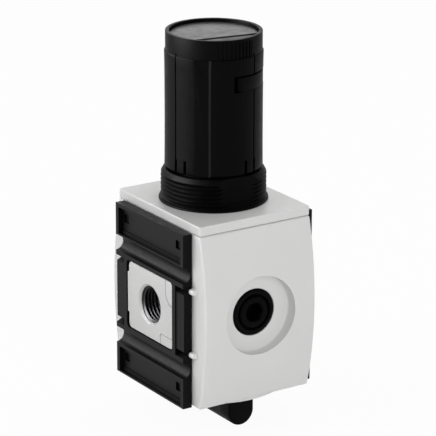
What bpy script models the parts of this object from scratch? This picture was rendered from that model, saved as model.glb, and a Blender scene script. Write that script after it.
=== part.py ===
"""Modular filling valve for compressed air, 52 mm wide, with a lockable adjusting knob.

The valve's axis is Z. X runs through the two ports and -Y is the front. Heights are worked out from the
underside of the housing and the whole valve hangs on one empty, which lifts it so that the lowest point
of the grip bar is at Z = 0. Every length below is a real size in millimetres times MM.
"""
from math import asin, atan2, cos, pi, radians, sin, sqrt

import bmesh
import bpy
from mathutils import Matrix, Vector

MM = 0.001
GAP = 0.3 * MM                     # clearance between neighbouring pieces

# Sides of round shapes
BIG_SIDES = 36
MID_SIDES = 24
SMALL_SIDES = 16

# Housing and cover
HOUSING_WIDTH = 44.4 * MM
HOUSING_HEIGHT = 61.2 * MM
END_DEPTH = 51.6 * MM              # depth at the top and bottom edges
BULGE = 3.9 * MM                   # how far front and back stand out at mid height
BULGE_STEPS = 8
EDGE_ROUND = 0.8 * MM
COVER_THICK = 3.16 * MM
BOSS_DROP = 1.1 * MM               # round boss under the housing
BOSS_SETBACK = 0.8 * MM            # from the housing's front and back edges
BOSS_TRIM = 0.4 * MM               # from the housing's sides

# Side plates with the clamp profile
PLATE_THICK = 3.5 * MM
PLATE_DEPTH = 43.0 * MM
PLATE_OVERHANG = 0.3 * MM          # above and below the housing
CLAMP_DROP = 0.3 * MM              # clamp profile's middle, below the port axis
COVE_OFFSET = 16.9 * MM
COVE_RADIUS = 2.85 * MM
NOTCH_OFFSET = 11.25 * MM
NOTCH_HALF = 1.15 * MM
NOTCH_DEPTH = 2.5 * MM
WAIST_RECESS = 1.0 * MM            # plate face between the notches, below the outer face
FRAME_WIDTH = 1.9 * MM             # frame round the port block, level with the outer face
PANEL_SIDE_RIM = 1.7 * MM
PANEL_TOP_RIM = 1.3 * MM
PANEL_LOW_RIM = 0.6 * MM
PANEL_RECESS = 1.85 * MM
PANEL_STEP_HEIGHT = 1.1 * MM       # low step along the foot of each panel
PANEL_STEP_STANDS = 0.4 * MM
LATCH_LENGTH = 2.9 * MM            # latch windows in the panels
LATCH_HEIGHT = 2.6 * MM
LATCH_REAR = 17.4 * MM             # from the middle of the plate
LATCH_FRONT = 15.7 * MM
LATCH_RISE = 0.4 * MM              # above the middle of the panel
LATCH_WALL = 0.8 * MM              # left behind the window
LUG_LENGTH = 2.6 * MM              # housing lugs that hold the plates front and back
LUG_STANDS = 1.8 * MM

# Port blocks
BLOCK_WIDTH = 28.6 * MM
BLOCK_HEIGHT = 24.0 * MM
BLOCK_CORNER = 2.5 * MM
BLOCK_STEP = 0.9 * MM              # the rear edge is set in near its ends
BLOCK_STEP_TOP = 8.0 * MM          # above the port axis
BLOCK_STEP_LOW = 6.6 * MM          # below the port axis
BLOCK_SETBACK = 0.2 * MM           # block face below the plate's outer face
EAR_REACH = 2.2 * MM               # ears behind the plate
EAR_HEIGHT = 17.4 * MM
EAR_THICK = 1.7 * MM
PORT_RADIUS = 5.72 * MM            # core of the port thread
PORT_LEAD_IN = 1.53 * MM           # countersink of the port thread
SPIGOT_WALL = 2.28 * MM
SPIGOT_LENGTH = 3.6 * MM
SPIGOT_LIP = 1.0 * MM              # from the spigot's end to its seal groove
SPIGOT_GROOVE_WIDTH = 1.8 * MM
SPIGOT_GROOVE_DEPTH = 1.1 * MM

# Gauge ports, front and back
POCKET_RADIUS = 13.9 * MM
POCKET_SINK = 0.8 * MM             # pocket floor, behind the housing's top edge
PLUG_HEAD_RADIUS = 8.45 * MM
PLUG_HEAD_THICK = 1.2 * MM
PLUG_PROUD = 0.3 * MM              # head above the pocket floor
PLUG_SHANK_RADIUS = 6.6 * MM
PLUG_SHANK_LENGTH = 7.1 * MM
PLUG_GROOVE_SETBACK = 1.0 * MM     # seal groove, from the head
PLUG_GROOVE_WIDTH = 2.0 * MM
PLUG_GROOVE_DEPTH = 1.3 * MM
PLUG_HEX = 6.0 * MM                # across flats
PLUG_HEX_DEPTH = 5.0 * MM
PLUG_CHAMFER = 0.3 * MM
GAUGE_CHANNEL = 1.2 * MM

# Chambers along the axis, from the bottom up
SOCKET_RADIUS = 19.0 * MM          # for the closing plug
SOCKET_DEPTH = 9.0 * MM
INLET_CHAMBER_RADIUS = 15.0 * MM
CHAMBER_DROP = 5.6 * MM            # inlet chamber's ceiling, below the port axis
THROAT_RADIUS = 10.3 * MM
THROAT_HEIGHT = 10.2 * MM
WEB_THICK = 3.5 * MM               # wall between the throat and the piston
INLET_DROP_INNER = 13.0 * MM
INLET_DROP_RISE = 3.0 * MM         # floor of the inlet's drop, above the plug socket
PASSAGE_HALF = 5.0 * MM
PASSAGE_TOP = 6.0 * MM             # above the port axis

# Closing plug with grip bar
PLUG_TOP_CLEAR = 1.0 * MM
RIM_SEAL_THICK = 1.7 * MM
RIM_GROOVE_DROP = 3.6 * MM         # groove's lower edge, below the plug's top
RIM_GROOVE_DEPTH = 1.6 * MM
GRIP_RADIUS = 5.1 * MM
GRIP_CENTRE = 8.0 * MM             # below the housing
GRIP_MARGIN = 0.2 * MM             # from the bar's corners to the plug's rim
GRIP_END = 5.3 * MM                # full width left at each end of the finger recess
GRIP_RECESS = 0.5 * MM
GRIP_ROOT = 2.5 * MM               # full width left under the plug
GUIDE_WALL = 2.2 * MM
GUIDE_BOSS_RISE = 4.5 * MM         # above the plug socket
GUIDE_FLOOR = 4.0 * MM
GUIDE_SEAL_RISE = 1.0 * MM
GUIDE_SEAL_WIDTH = 2.0 * MM
GUIDE_SEAL_DEPTH = 1.8 * MM

# Valve seat, stem and poppet
SEAT_BORE = 6.3 * MM
SEAT_LIP_WALL = 0.8 * MM
SEAT_LIP_RISE = 0.5 * MM
SEAT_SHOULDER = 0.6 * MM
SEAT_FLANGE_STEP = 0.9 * MM
SEAT_FLANGE_THICK = 2.5 * MM
SEAT_NECK_LENGTH = 1.8 * MM
GUIDE_ROD_RADIUS = 3.7 * MM
STEM_RADIUS = 2.6 * MM
STEM_CLEAR = 1.3 * MM              # under the stem
STEM_CHAMFER = 0.5 * MM
STEM_STANDS = 1.0 * MM             # above its nut
RETAINER_CLEAR = 0.6 * MM          # round the retainer, in the seat
RETAINER_THICK = 1.2 * MM
POPPET_OVERLAP = 0.9 * MM          # past the seat's lip
POPPET_THICK = 3.5 * MM
POPPET_RIM = 2.0 * MM
POPPET_CONE = 0.6 * MM             # top of the poppet, wider than the sleeve
POPPET_SEAL_THICK = 1.1 * MM
SLEEVE_RADIUS = 4.5 * MM
PISTON_RUNNING = 0.6 * MM          # round the piston, which its seal closes
PISTON_CLEAR = 2.0 * MM            # under the piston
PISTON_THICK = 5.0 * MM
PISTON_GROOVE_RISE = 1.4 * MM
PISTON_GROOVE_HEIGHT = 2.2 * MM
PISTON_GROOVE_DEPTH = 1.6 * MM
PISTON_HUB_RISE = 1.5 * MM
PISTON_LIFT = 3.0 * MM
STEM_NUT_HEX = 8.0 * MM
STEM_NUT_THICK = 3.0 * MM

# Filling nozzle
NOZZLE_REACH = 12.6 * MM           # from the valve's axis
NOZZLE_ANGLE = -135.0              # degrees from the front
NOZZLE_RADIUS = 1.9 * MM
NOZZLE_LENGTH = 3.6 * MM
NOZZLE_CHAMFER = 0.4 * MM
NOZZLE_JET = 0.6 * MM
BYPASS_RADIUS = 1.0 * MM
BYPASS_RISE = 2.4 * MM             # above the port axis

# Bonnet: screwed into the housing, with the panel thread and the spring tower
BONNET_SHELF = 1.2 * MM            # housing shelf under the bonnet
FLANGE_STANDS = 1.0 * MM           # outside the panel thread
FLANGE_THICK = 1.34 * MM
COLLAR_RADIUS = 17.7 * MM          # mean radius of the panel thread
COLLAR_HEIGHT = 10.5 * MM
COLLAR_SHOULDER = 0.8 * MM
COLLAR_WALL = 2.1 * MM
COLLAR_RECESS = 4.8 * MM
COLLAR_FLAT_CUT = 1.2 * MM         # depth of the two wrench flats
SHANK_RELIEF = 0.3 * MM
TOWER_BORE = 11.4 * MM
TOWER_WALL = 2.2 * MM
TOWER_RISE = 30.2 * MM             # above the collar
TOWER_ROOF = 3.0 * MM
TOWER_CHAMFER = 0.4 * MM
KEYWAY_HALF = 2.2 * MM
KEYWAY_DEPTH = 1.3 * MM
KEYWAY_DROP = 10.0 * MM            # end of the keyway, below the tower's top

# Spindle and spring nut; the thread is left-handed, so that turning clockwise loads the spring
THREAD_PITCH = 1.5 * MM
SPINDLE_TURNS = 4
SPINDLE_RADIUS = 4.0 * MM
SPINDLE_OVERRUN = 2.0 * MM         # thread left under the nut at its lowest
SPINDLE_CHAMFER = 0.6 * MM
SPINDLE_COLLAR_RADIUS = 6.8 * MM
SPINDLE_COLLAR_THICK = 1.8 * MM
THRUST_THICK = 2.2 * MM
THRUST_RADIUS = 7.6 * MM
SQUARE_SIZE = 5.6 * MM
SQUARE_LENGTH = 5.5 * MM
CLIP_GROOVE_DEPTH = 0.8 * MM
CLIP_STANDS = 1.4 * MM
CLIP_THICK = 0.8 * MM
CLIP_OPENING = 70.0                # degrees
NUT_CLEAR = 0.5 * MM               # round the nut
NUT_THICK = 5.0 * MM
NUT_HEADROOM = 2.0 * MM
NUT_BOSS = 3.0 * MM                # centring boss inside the spring
KEY_ROOT = 2.0 * MM                # depth of the keys inside the nut

# Adjusting spring
WIRE_RADIUS = 1.15 * MM
SPRING_CLEAR = 0.85 * MM           # between the spring and the tower's bore
SPRING_COILS = 5
SPRING_POINTS = 12                 # along one turn
CENTRING_CLEAR = 0.45 * MM         # between the spring and its centring bosses

# Knob
KNOB_TURN = -9.0                   # degrees that the knob is turned from square
KNOB_RUNNING = 0.7 * MM            # between the knob and the tower
KNOB_WALL = 2.42 * MM
KNOB_FOOT_ROUND = 0.8 * MM
KNOB_PINCH = 0.14 * MM             # how much slimmer the grip is at its waist
KNOB_WAIST_LENGTH = 10.0 * MM
KNOB_CAP_STEP = 0.36 * MM          # cap band inside the grip
KNOB_CLEAR = 0.4 * MM              # above the collar
KNOB_CAP_HEIGHT = 6.65 * MM
KNOB_TOP_ROUND = 0.5 * MM
KNOB_RIM = 1.3 * MM
KNOB_DISC_SINK = 1.7 * MM
KNOB_WEB = 3.0 * MM
KNOB_LIFT = 3.5 * MM
HUB_WALL = 2.2 * MM                # round the corners of the square
HUB_CLEAR = 1.0 * MM               # above the spindle clip
HUB_SHOULDER = 1.3 * MM            # wall that the knob screw holds
SCREW_HEAD_RADIUS = 3.3 * MM
SCREW_HEAD_THICK = 1.5 * MM
SCREW_HEAD_CLEAR = 0.2 * MM        # under the disc
SCREW_RADIUS = 1.5 * MM
SCREW_REACH = 6.6 * MM             # into the spindle
SCREW_DRIVE = 2.5 * MM             # across flats
SCREW_DRIVE_DEPTH = 0.9 * MM
CAP_THICK = 1.0 * MM
CAP_CHORD = 7.8 * MM               # from the axis to the groove across the knob's top
CHORD_GROOVE = 0.5 * MM
GROOVE_ANGLES = (-83.0, 21.0, 97.0, 201.0)
GROOVE_WIDTH = 0.6 * MM
GROOVE_DEPTH = 0.4 * MM
SLOT_CENTRES = (-75.5, 14.5, 104.5, 194.5)
SLOT_SPREAD = 7.0                  # degrees from a pair's middle to each slot
SLOT_WIDTH = 1.1 * MM
SLOT_HEIGHT = 5.0 * MM
SLOT_DEPTH = 0.9 * MM
CHANNEL_ANGLES = ((-57.0, -36.0), (123.0, 144.0))
RIB_FIRST = -25.0
RIB_LAST = 15.0
RIB_COUNT = 9
RIB_WIDTH = 0.55 * MM
RIB_STANDS = 0.25 * MM
RIB_ROOT = 0.45 * MM
RIB_DROP = 1.0 * MM                # below the knob's top
LOCK_FROM = -5.0                   # padlock slot, degrees from the front
LOCK_TO = 85.0
LOCK_DROP = 6.45 * MM              # slot's upper edge, below the cap band
LOCK_HEIGHT = 5.0 * MM
SLIDE_SINK = 0.4 * MM              # lock slide in that slot, below the grip
SLIDE_THICK = 1.6 * MM
SLIDE_HEADROOM = 0.6 * MM          # slot left open above the slide
SLIDE_LEAD = 4.5                   # degrees of slot left open in front of it
SLIDE_TAIL = 1.5                   # degrees of slot left open behind it

# Widths and places that follow from the sizes above
PORT_Z = HOUSING_HEIGHT / 2
CLAMP_Z = PORT_Z - CLAMP_DROP
HALF_WIDTH = HOUSING_WIDTH / 2
HALF_DEPTH = END_DEPTH / 2
PLATE_INNER = HALF_WIDTH + GAP
PLATE_OUTER = PLATE_INNER + PLATE_THICK
PLATE_BOTTOM = -PLATE_OVERHANG
PLATE_TOP = HOUSING_HEIGHT + PLATE_OVERHANG
BLOCK_FACE = PLATE_OUTER - BLOCK_SETBACK
SPIGOT_RADIUS = PORT_RADIUS + SPIGOT_WALL
SPIGOT_TIP = HALF_WIDTH - SPIGOT_LENGTH
POCKET_FLOOR = HALF_DEPTH - POCKET_SINK
PLUG_FACE = POCKET_FLOOR + PLUG_PROUD
PLUG_UNDER = PLUG_FACE - PLUG_HEAD_THICK
PLUG_GROOVE = PLUG_UNDER - PLUG_GROOVE_SETBACK - PLUG_GROOVE_WIDTH
CLOSING_RADIUS = SOCKET_RADIUS - GAP
CLOSING_TOP = SOCKET_DEPTH - PLUG_TOP_CLEAR
RIM_GROOVE = CLOSING_TOP - RIM_GROOVE_DROP
GRIP_HALF_LENGTH = sqrt((CLOSING_RADIUS - GRIP_MARGIN) ** 2 - GRIP_RADIUS ** 2)
GRIP_DROP = GRIP_CENTRE + GRIP_RADIUS
GUIDE_BORE = GUIDE_ROD_RADIUS + GAP
GUIDE_GROOVE = SOCKET_DEPTH + GUIDE_SEAL_RISE
SEAT_LIP = SEAT_BORE + SEAT_LIP_WALL
SEAT_NECK = SEAT_LIP + SEAT_SHOULDER
SEAT_FLANGE = SEAT_NECK + SEAT_FLANGE_STEP
TOWER_RADIUS = TOWER_BORE + TOWER_WALL
KEYWAY_REACH = TOWER_BORE + KEYWAY_DEPTH
NUT_RADIUS = TOWER_BORE - NUT_CLEAR
SPRING_RADIUS = TOWER_BORE - SPRING_CLEAR - WIRE_RADIUS
CENTRING_RADIUS = SPRING_RADIUS - WIRE_RADIUS - CENTRING_CLEAR
COLLAR_MOUTH = COLLAR_RADIUS - COLLAR_WALL
FLANGE_RADIUS = COLLAR_RADIUS + FLANGE_STANDS
BONNET_SHANK = COLLAR_RADIUS - SHANK_RELIEF
PISTON_BORE = BONNET_SHANK - BONNET_SHELF
PISTON_RADIUS = PISTON_BORE - PISTON_RUNNING
JOURNAL_RADIUS = SQUARE_SIZE / sqrt(2) + 0.05 * MM
CLIP_GROOVE = JOURNAL_RADIUS - CLIP_GROOVE_DEPTH
CLIP_RADIUS = JOURNAL_RADIUS + CLIP_STANDS
HUB_RADIUS = JOURNAL_RADIUS + GAP + HUB_WALL
KNOB_BORE = TOWER_RADIUS + KNOB_RUNNING
KNOB_GRIP = KNOB_BORE + KNOB_WALL
KNOB_WAIST = KNOB_GRIP - KNOB_PINCH
KNOB_CAP_RADIUS = KNOB_GRIP - KNOB_CAP_STEP
DISC_RADIUS = KNOB_CAP_RADIUS - KNOB_RIM - GAP

# Heights that follow, from the bottom up
INLET_CHAMBER_TOP = PORT_Z - CHAMBER_DROP
SEAT_STEP = INLET_CHAMBER_TOP + SEAT_FLANGE_THICK
THROAT_FLOOR = SEAT_STEP + SEAT_NECK_LENGTH
SEAT_TOP = THROAT_FLOOR + SEAT_LIP_RISE
WEB_BOTTOM = THROAT_FLOOR + THROAT_HEIGHT
WEB_TOP = WEB_BOTTOM + WEB_THICK
PISTON_BOTTOM = WEB_TOP + PISTON_CLEAR
PISTON_TOP = PISTON_BOTTOM + PISTON_THICK
BONNET_BOTTOM = PISTON_TOP + PISTON_LIFT + GAP
COVER_BOTTOM = HOUSING_HEIGHT + GAP
COVER_TOP = COVER_BOTTOM + COVER_THICK
FLANGE_TOP = COVER_TOP + GAP + FLANGE_THICK
COLLAR_TOP = FLANGE_TOP + COLLAR_HEIGHT
TOWER_TOP = COLLAR_TOP + TOWER_RISE
ROOF_BOTTOM = TOWER_TOP - TOWER_ROOF
KEYWAY_TOP = TOWER_TOP - KEYWAY_DROP
NUT_TOP = KEYWAY_TOP - NUT_HEADROOM
NUT_BOTTOM = NUT_TOP - NUT_THICK
SPINDLE_BOTTOM = NUT_BOTTOM - NUT_BOSS - THREAD_PITCH * SPINDLE_TURNS - SPINDLE_OVERRUN
CLIP_BOTTOM = TOWER_TOP + GAP
HUB_BOTTOM = CLIP_BOTTOM + CLIP_THICK + HUB_CLEAR
SQUARE_TOP = HUB_BOTTOM + SQUARE_LENGTH
SOCKET_CEILING = SQUARE_TOP + GAP
COUNTERBORE_FLOOR = SOCKET_CEILING + HUB_SHOULDER
SCREW_SEAT = COUNTERBORE_FLOOR + KNOB_LIFT + GAP
KNOB_BOTTOM = COLLAR_TOP + KNOB_CLEAR
KNOB_FLOOR = SCREW_SEAT + SCREW_HEAD_THICK + SCREW_HEAD_CLEAR
KNOB_TOP = KNOB_FLOOR + KNOB_DISC_SINK
KNOB_LEDGE = KNOB_TOP - KNOB_CAP_HEIGHT
LOCK_TOP = KNOB_LEDGE - LOCK_DROP
DISC_BOTTOM = KNOB_FLOOR + GAP
DISC_TOP = DISC_BOTTOM + CAP_THICK

TURN = {"X": Matrix.Rotation(pi / 2, 4, "Y"), "Y": Matrix.Rotation(pi / 2, 4, "X"), "Z": Matrix()}
EXTRUDED = {"X": Vector((1, 0, 0)), "Y": Vector((0, 1, 0)), "Z": Vector((0, 0, 1))}

FRAME = None                       # the empty that carries every piece


def clear_scene():
    for item in list(bpy.data.objects):
        bpy.data.objects.remove(item, do_unlink=True)


def make_material(name, colour, roughness, metallic=0.0):
    material = bpy.data.materials.new(name)
    material.use_nodes = True
    shader = material.node_tree.nodes["Principled BSDF"]
    shader.inputs["Base Color"].default_value = (*colour, 1.0)
    shader.inputs["Roughness"].default_value = roughness
    shader.inputs["Metallic"].default_value = metallic
    return material


def piece(name, bm, material=None):
    """Turn a bmesh into an object on the valve's frame; without a material it is a cutter."""
    bmesh.ops.recalc_face_normals(bm, faces=bm.faces)
    mesh = bpy.data.meshes.new(name)
    bm.to_mesh(mesh)
    bm.free()
    mesh.shade_smooth()
    mesh.set_sharp_from_angle(angle=radians(35))
    item = bpy.data.objects.new(name, mesh)
    bpy.context.scene.collection.objects.link(item)
    item.parent = FRAME
    if material is None:
        item.hide_render = True
        item.display_type = "WIRE"
    else:
        mesh.materials.append(material)
    return item


def boolean(target, bm, operation="DIFFERENCE"):
    """Cut a shape from a piece, or join it on; the tool stays in the scene as a wire."""
    tool = piece("%s_tool_%d" % (target.name, len(target.modifiers)), bm)
    modifier = target.modifiers.new(tool.name, "BOOLEAN")
    modifier.operation = operation
    modifier.solver = "EXACT"
    modifier.object = tool
    return target


def round_edges(target, width, degrees):
    rounding = target.modifiers.new("edges", "BEVEL")
    rounding.limit_method = "ANGLE"
    rounding.angle_limit = radians(degrees)
    rounding.width = width
    rounding.segments = 2


def turned(profile, sides, axis="Z", at=(0, 0, 0)):
    """Spin a closed outline of (radius, height) points about an axis."""
    bm = bmesh.new()
    points = [bm.verts.new((radius, 0, height)) for radius, height in profile]
    edges = []
    for first, second in zip(points, points[1:] + points[:1]):
        if first.co.x > 0 or second.co.x > 0:
            edges.append(bm.edges.new((first, second)))
    bmesh.ops.spin(bm, geom=points + edges, cent=(0, 0, 0), axis=(0, 0, 1), angle=2 * pi,
                   steps=sides, use_merge=True)
    bmesh.ops.remove_doubles(bm, verts=bm.verts, dist=1e-6)
    bmesh.ops.dissolve_degenerate(bm, edges=bm.edges, dist=1e-7)
    bmesh.ops.transform(bm, matrix=Matrix.Translation(at) @ TURN[axis], verts=bm.verts)
    return bm


def rod(radius, low, high, sides, axis="Z", at=(0, 0, 0)):
    return turned([(0, low), (radius, low), (radius, high), (0, high)], sides, axis, at)


def ring(inner, outer, low, high, sides, axis="Z", at=(0, 0, 0)):
    return turned([(inner, low), (outer, low), (outer, high), (inner, high)], sides, axis, at)


def seal_ring(inner, outer, low, high, sides, axis="Z", at=(0, 0, 0)):
    """A ring with its outer corners taken off, as an O-ring looks once squeezed."""
    chamfer = 0.3 * min(outer - inner, high - low)
    profile = [(inner, low), (outer - chamfer, low), (outer, low + chamfer),
               (outer, high - chamfer), (outer - chamfer, high), (inner, high)]
    return turned(profile, sides, axis, at)


def prism(outline, low, high, axis="Z"):
    """Extrude a flat outline: (y, z) points along X, (x, z) along Y or (x, y) along Z."""
    place = {"X": lambda a, b: (low, a, b),
             "Y": lambda a, b: (a, low, b),
             "Z": lambda a, b: (a, b, low)}[axis]
    bm = bmesh.new()
    face = bm.faces.new([bm.verts.new(place(a, b)) for a, b in outline])
    grown = bmesh.ops.extrude_face_region(bm, geom=[face])
    moved = [item for item in grown["geom"] if isinstance(item, bmesh.types.BMVert)]
    bmesh.ops.translate(bm, vec=EXTRUDED[axis] * (high - low), verts=moved)
    return bm


def block(xs, ys, zs):
    """A box between two values along each axis, given in either order."""
    (left, right), (front, back), (bottom, top) = sorted(xs), sorted(ys), sorted(zs)
    return prism([(left, front), (right, front), (right, back), (left, back)], bottom, top)


def arc(centre, radius, start, stop, steps):
    """Points on an arc, angles in degrees."""
    turns = [radians(start + (stop - start) * step / steps) for step in range(steps + 1)]
    return [(centre[0] + radius * cos(turn), centre[1] + radius * sin(turn)) for turn in turns]


def rounded_rectangle(half_a, half_b, corner, middle=(0, 0), steps=4):
    points = []
    for quarter, (sign_a, sign_b) in enumerate(((1, 1), (-1, 1), (-1, -1), (1, -1))):
        centre = (middle[0] + sign_a * (half_a - corner), middle[1] + sign_b * (half_b - corner))
        points += arc(centre, corner, 90 * quarter, 90 * quarter + 90, steps)
    return points


def hexagon(across_flats, middle=(0, 0)):
    return arc(middle, across_flats / sqrt(3), 0, 300, 5)


def around(radius, degrees):
    """A point at an angle counted from the front, positive towards +X."""
    turn = radians(degrees)
    return radius * sin(turn), -radius * cos(turn)


def sector(inner, outer, start, stop, low, high, steps):
    """A curved wall between two angles from the front."""
    turns = [start + (stop - start) * step / steps for step in range(steps + 1)]
    outline = [around(outer, turn) for turn in turns] + [around(inner, turn) for turn in reversed(turns)]
    return prism(outline, low, high)


def spoke(inner, outer, width, low, high, degrees):
    """A bar that lies along a radius, between two distances from the axis."""
    bm = block((-width / 2, width / 2), (-outer, -inner), (low, high))
    bmesh.ops.transform(bm, matrix=Matrix.Rotation(radians(degrees), 4, "Z"), verts=bm.verts)
    return bm


def bulged_outline(height):
    """Side view of the housing: flat ends, with front and back on one large arc each."""
    radius = ((height / 2) ** 2 + BULGE ** 2) / (2 * BULGE)
    centre = HALF_DEPTH + BULGE - radius
    spread = asin(height / 2 / radius) * 180 / pi
    rear = arc((centre, height / 2), radius, -spread, spread, BULGE_STEPS)
    front = arc((-centre, height / 2), radius, 180 - spread, 180 + spread, BULGE_STEPS)
    return rear + front


def boss_outline(steps=36):
    """Seen from below: a circle with its left and right sides cut off."""
    radius = HALF_DEPTH - BOSS_SETBACK
    half_width = HALF_WIDTH - BOSS_TRIM
    return [(max(-half_width, min(half_width, x)), y) for x, y in arc((0, 0), radius, 0, 360, steps)[:-1]]


def housing_core():
    """Half section of all that is hollow round the axis, from the plug's socket to the bonnet."""
    return [
        (0, -2 * BOSS_DROP), (SOCKET_RADIUS, -2 * BOSS_DROP), (SOCKET_RADIUS, SOCKET_DEPTH),
        (INLET_CHAMBER_RADIUS, SOCKET_DEPTH), (INLET_CHAMBER_RADIUS, INLET_CHAMBER_TOP),
        (SEAT_FLANGE + GAP, INLET_CHAMBER_TOP), (SEAT_FLANGE + GAP, SEAT_STEP), (SEAT_NECK + GAP, SEAT_STEP),
        (SEAT_NECK + GAP, THROAT_FLOOR), (THROAT_RADIUS, THROAT_FLOOR), (THROAT_RADIUS, WEB_BOTTOM),
        (SLEEVE_RADIUS + GAP, WEB_BOTTOM), (SLEEVE_RADIUS + GAP, WEB_TOP), (PISTON_BORE, WEB_TOP),
        (PISTON_BORE, BONNET_BOTTOM - GAP), (BONNET_SHANK + GAP, BONNET_BOTTOM - GAP),
        (BONNET_SHANK + GAP, HOUSING_HEIGHT + EDGE_ROUND), (0, HOUSING_HEIGHT + EDGE_ROUND)]


def gauge_core(end):
    """Half section of a gauge port: a fine channel, the plug's shank and the recess for its head."""
    shank_end = PLUG_UNDER - GAP - PLUG_SHANK_LENGTH - GAP
    channel_start = THROAT_RADIUS - GAUGE_CHANNEL
    outline = [(0, channel_start), (GAUGE_CHANNEL, channel_start), (GAUGE_CHANNEL, shank_end),
               (PLUG_SHANK_RADIUS + GAP, shank_end), (PLUG_SHANK_RADIUS + GAP, PLUG_UNDER - GAP),
               (PLUG_HEAD_RADIUS + GAP, PLUG_UNDER - GAP), (PLUG_HEAD_RADIUS + GAP, POCKET_FLOOR + GAP),
               (0, POCKET_FLOOR + GAP)]
    return [(radius, -end * along) for radius, along in outline]


def make_housing(material):
    housing = piece("housing", prism(bulged_outline(HOUSING_HEIGHT), -HALF_WIDTH, HALF_WIDTH, "X"), material)
    round_edges(housing, EDGE_ROUND, 40)
    boolean(housing, prism(boss_outline(), -BOSS_DROP, EDGE_ROUND * 2), "UNION")
    near = PLATE_DEPTH / 2 + GAP
    for side in (-1, 1):
        for end in (-1, 1):
            for height in (CLAMP_Z - NOTCH_OFFSET, CLAMP_Z + NOTCH_OFFSET):
                lug = block((side * (HALF_WIDTH - EDGE_ROUND), side * (HALF_WIDTH + LUG_STANDS)),
                            (end * near, end * (near + LUG_LENGTH)),
                            (height - NOTCH_HALF, height + NOTCH_HALF))
                boolean(housing, lug, "UNION")
    boolean(housing, turned(housing_core(), MID_SIDES))
    counterbore = SPIGOT_TIP - GAP
    outside = HALF_WIDTH + EDGE_ROUND
    for side in (-1, 1):
        socket = [(0, side * counterbore), (SPIGOT_RADIUS + GAP, side * counterbore),
                  (SPIGOT_RADIUS + GAP, side * outside), (0, side * outside)]
        boolean(housing, turned(socket, MID_SIDES, "X", (0, 0, PORT_Z)))
    inlet_drop = block((-counterbore - GAP, -INLET_DROP_INNER), (-PASSAGE_HALF, PASSAGE_HALF),
                       (SOCKET_DEPTH + INLET_DROP_RISE, PORT_Z + PASSAGE_TOP))
    boolean(housing, inlet_drop)
    outlet_window = block((THROAT_RADIUS / 2, counterbore + GAP), (-PASSAGE_HALF, PASSAGE_HALF),
                          (THROAT_FLOOR, PORT_Z + PASSAGE_TOP))
    boolean(housing, outlet_window)
    for end in (-1, 1):
        boolean(housing, turned(gauge_core(end), MID_SIDES, "Y", (0, 0, PORT_Z)))
        floor, front = sorted((-end * POCKET_FLOOR, -end * (HALF_DEPTH + BULGE * 2)))
        boolean(housing, rod(POCKET_RADIUS, floor, front, BIG_SIDES, "Y", (0, 0, PORT_Z)))
    bypass_z = PORT_Z + BYPASS_RISE
    nozzle_end = INLET_CHAMBER_TOP + NOZZLE_LENGTH + 2 * GAP
    nozzle = [(0, INLET_CHAMBER_TOP - GAP), (NOZZLE_RADIUS + GAP, INLET_CHAMBER_TOP - GAP),
              (NOZZLE_RADIUS + GAP, nozzle_end), (BYPASS_RADIUS, nozzle_end),
              (BYPASS_RADIUS, bypass_z + BYPASS_RADIUS), (0, bypass_z + BYPASS_RADIUS)]
    boolean(housing, turned(nozzle, SMALL_SIDES, "Z", (*around(NOZZLE_REACH, NOZZLE_ANGLE), 0)))
    cross_hole = spoke(THROAT_RADIUS - BYPASS_RADIUS, NOZZLE_REACH, 1.6 * BYPASS_RADIUS,
                       bypass_z - BYPASS_RADIUS, bypass_z + BYPASS_RADIUS / 2, NOZZLE_ANGLE)
    boolean(housing, cross_hole)
    return housing


def make_cover(material):
    outline = rounded_rectangle(HALF_WIDTH, HALF_DEPTH, EDGE_ROUND, steps=2)
    cover = piece("top_cover", prism(outline, COVER_BOTTOM, COVER_TOP), material)
    round_edges(cover, EDGE_ROUND / 2, 60)
    boolean(cover, rod(BONNET_SHANK + GAP, COVER_BOTTOM - GAP, COVER_TOP + GAP, BIG_SIDES))
    return cover


def clamp_profile(side):
    """Section of a side plate in (x, z), with its coves and notches on the outer face."""
    def half(up, edge):
        cove = CLAMP_Z + up * COVE_OFFSET
        notch = CLAMP_Z + up * NOTCH_OFFSET
        bite = arc((PLATE_OUTER, cove), COVE_RADIUS, 90 * up, 270 * up, 8)
        return [(PLATE_INNER, edge), (PLATE_OUTER, edge)] + bite + [
            (PLATE_OUTER, notch + up * NOTCH_HALF), (PLATE_OUTER - NOTCH_DEPTH, notch),
            (PLATE_OUTER - WAIST_RECESS, notch - up * NOTCH_HALF)]
    points = half(1, PLATE_TOP) + list(reversed(half(-1, PLATE_BOTTOM)))
    return [(side * x, z) for x, z in points]


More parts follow.
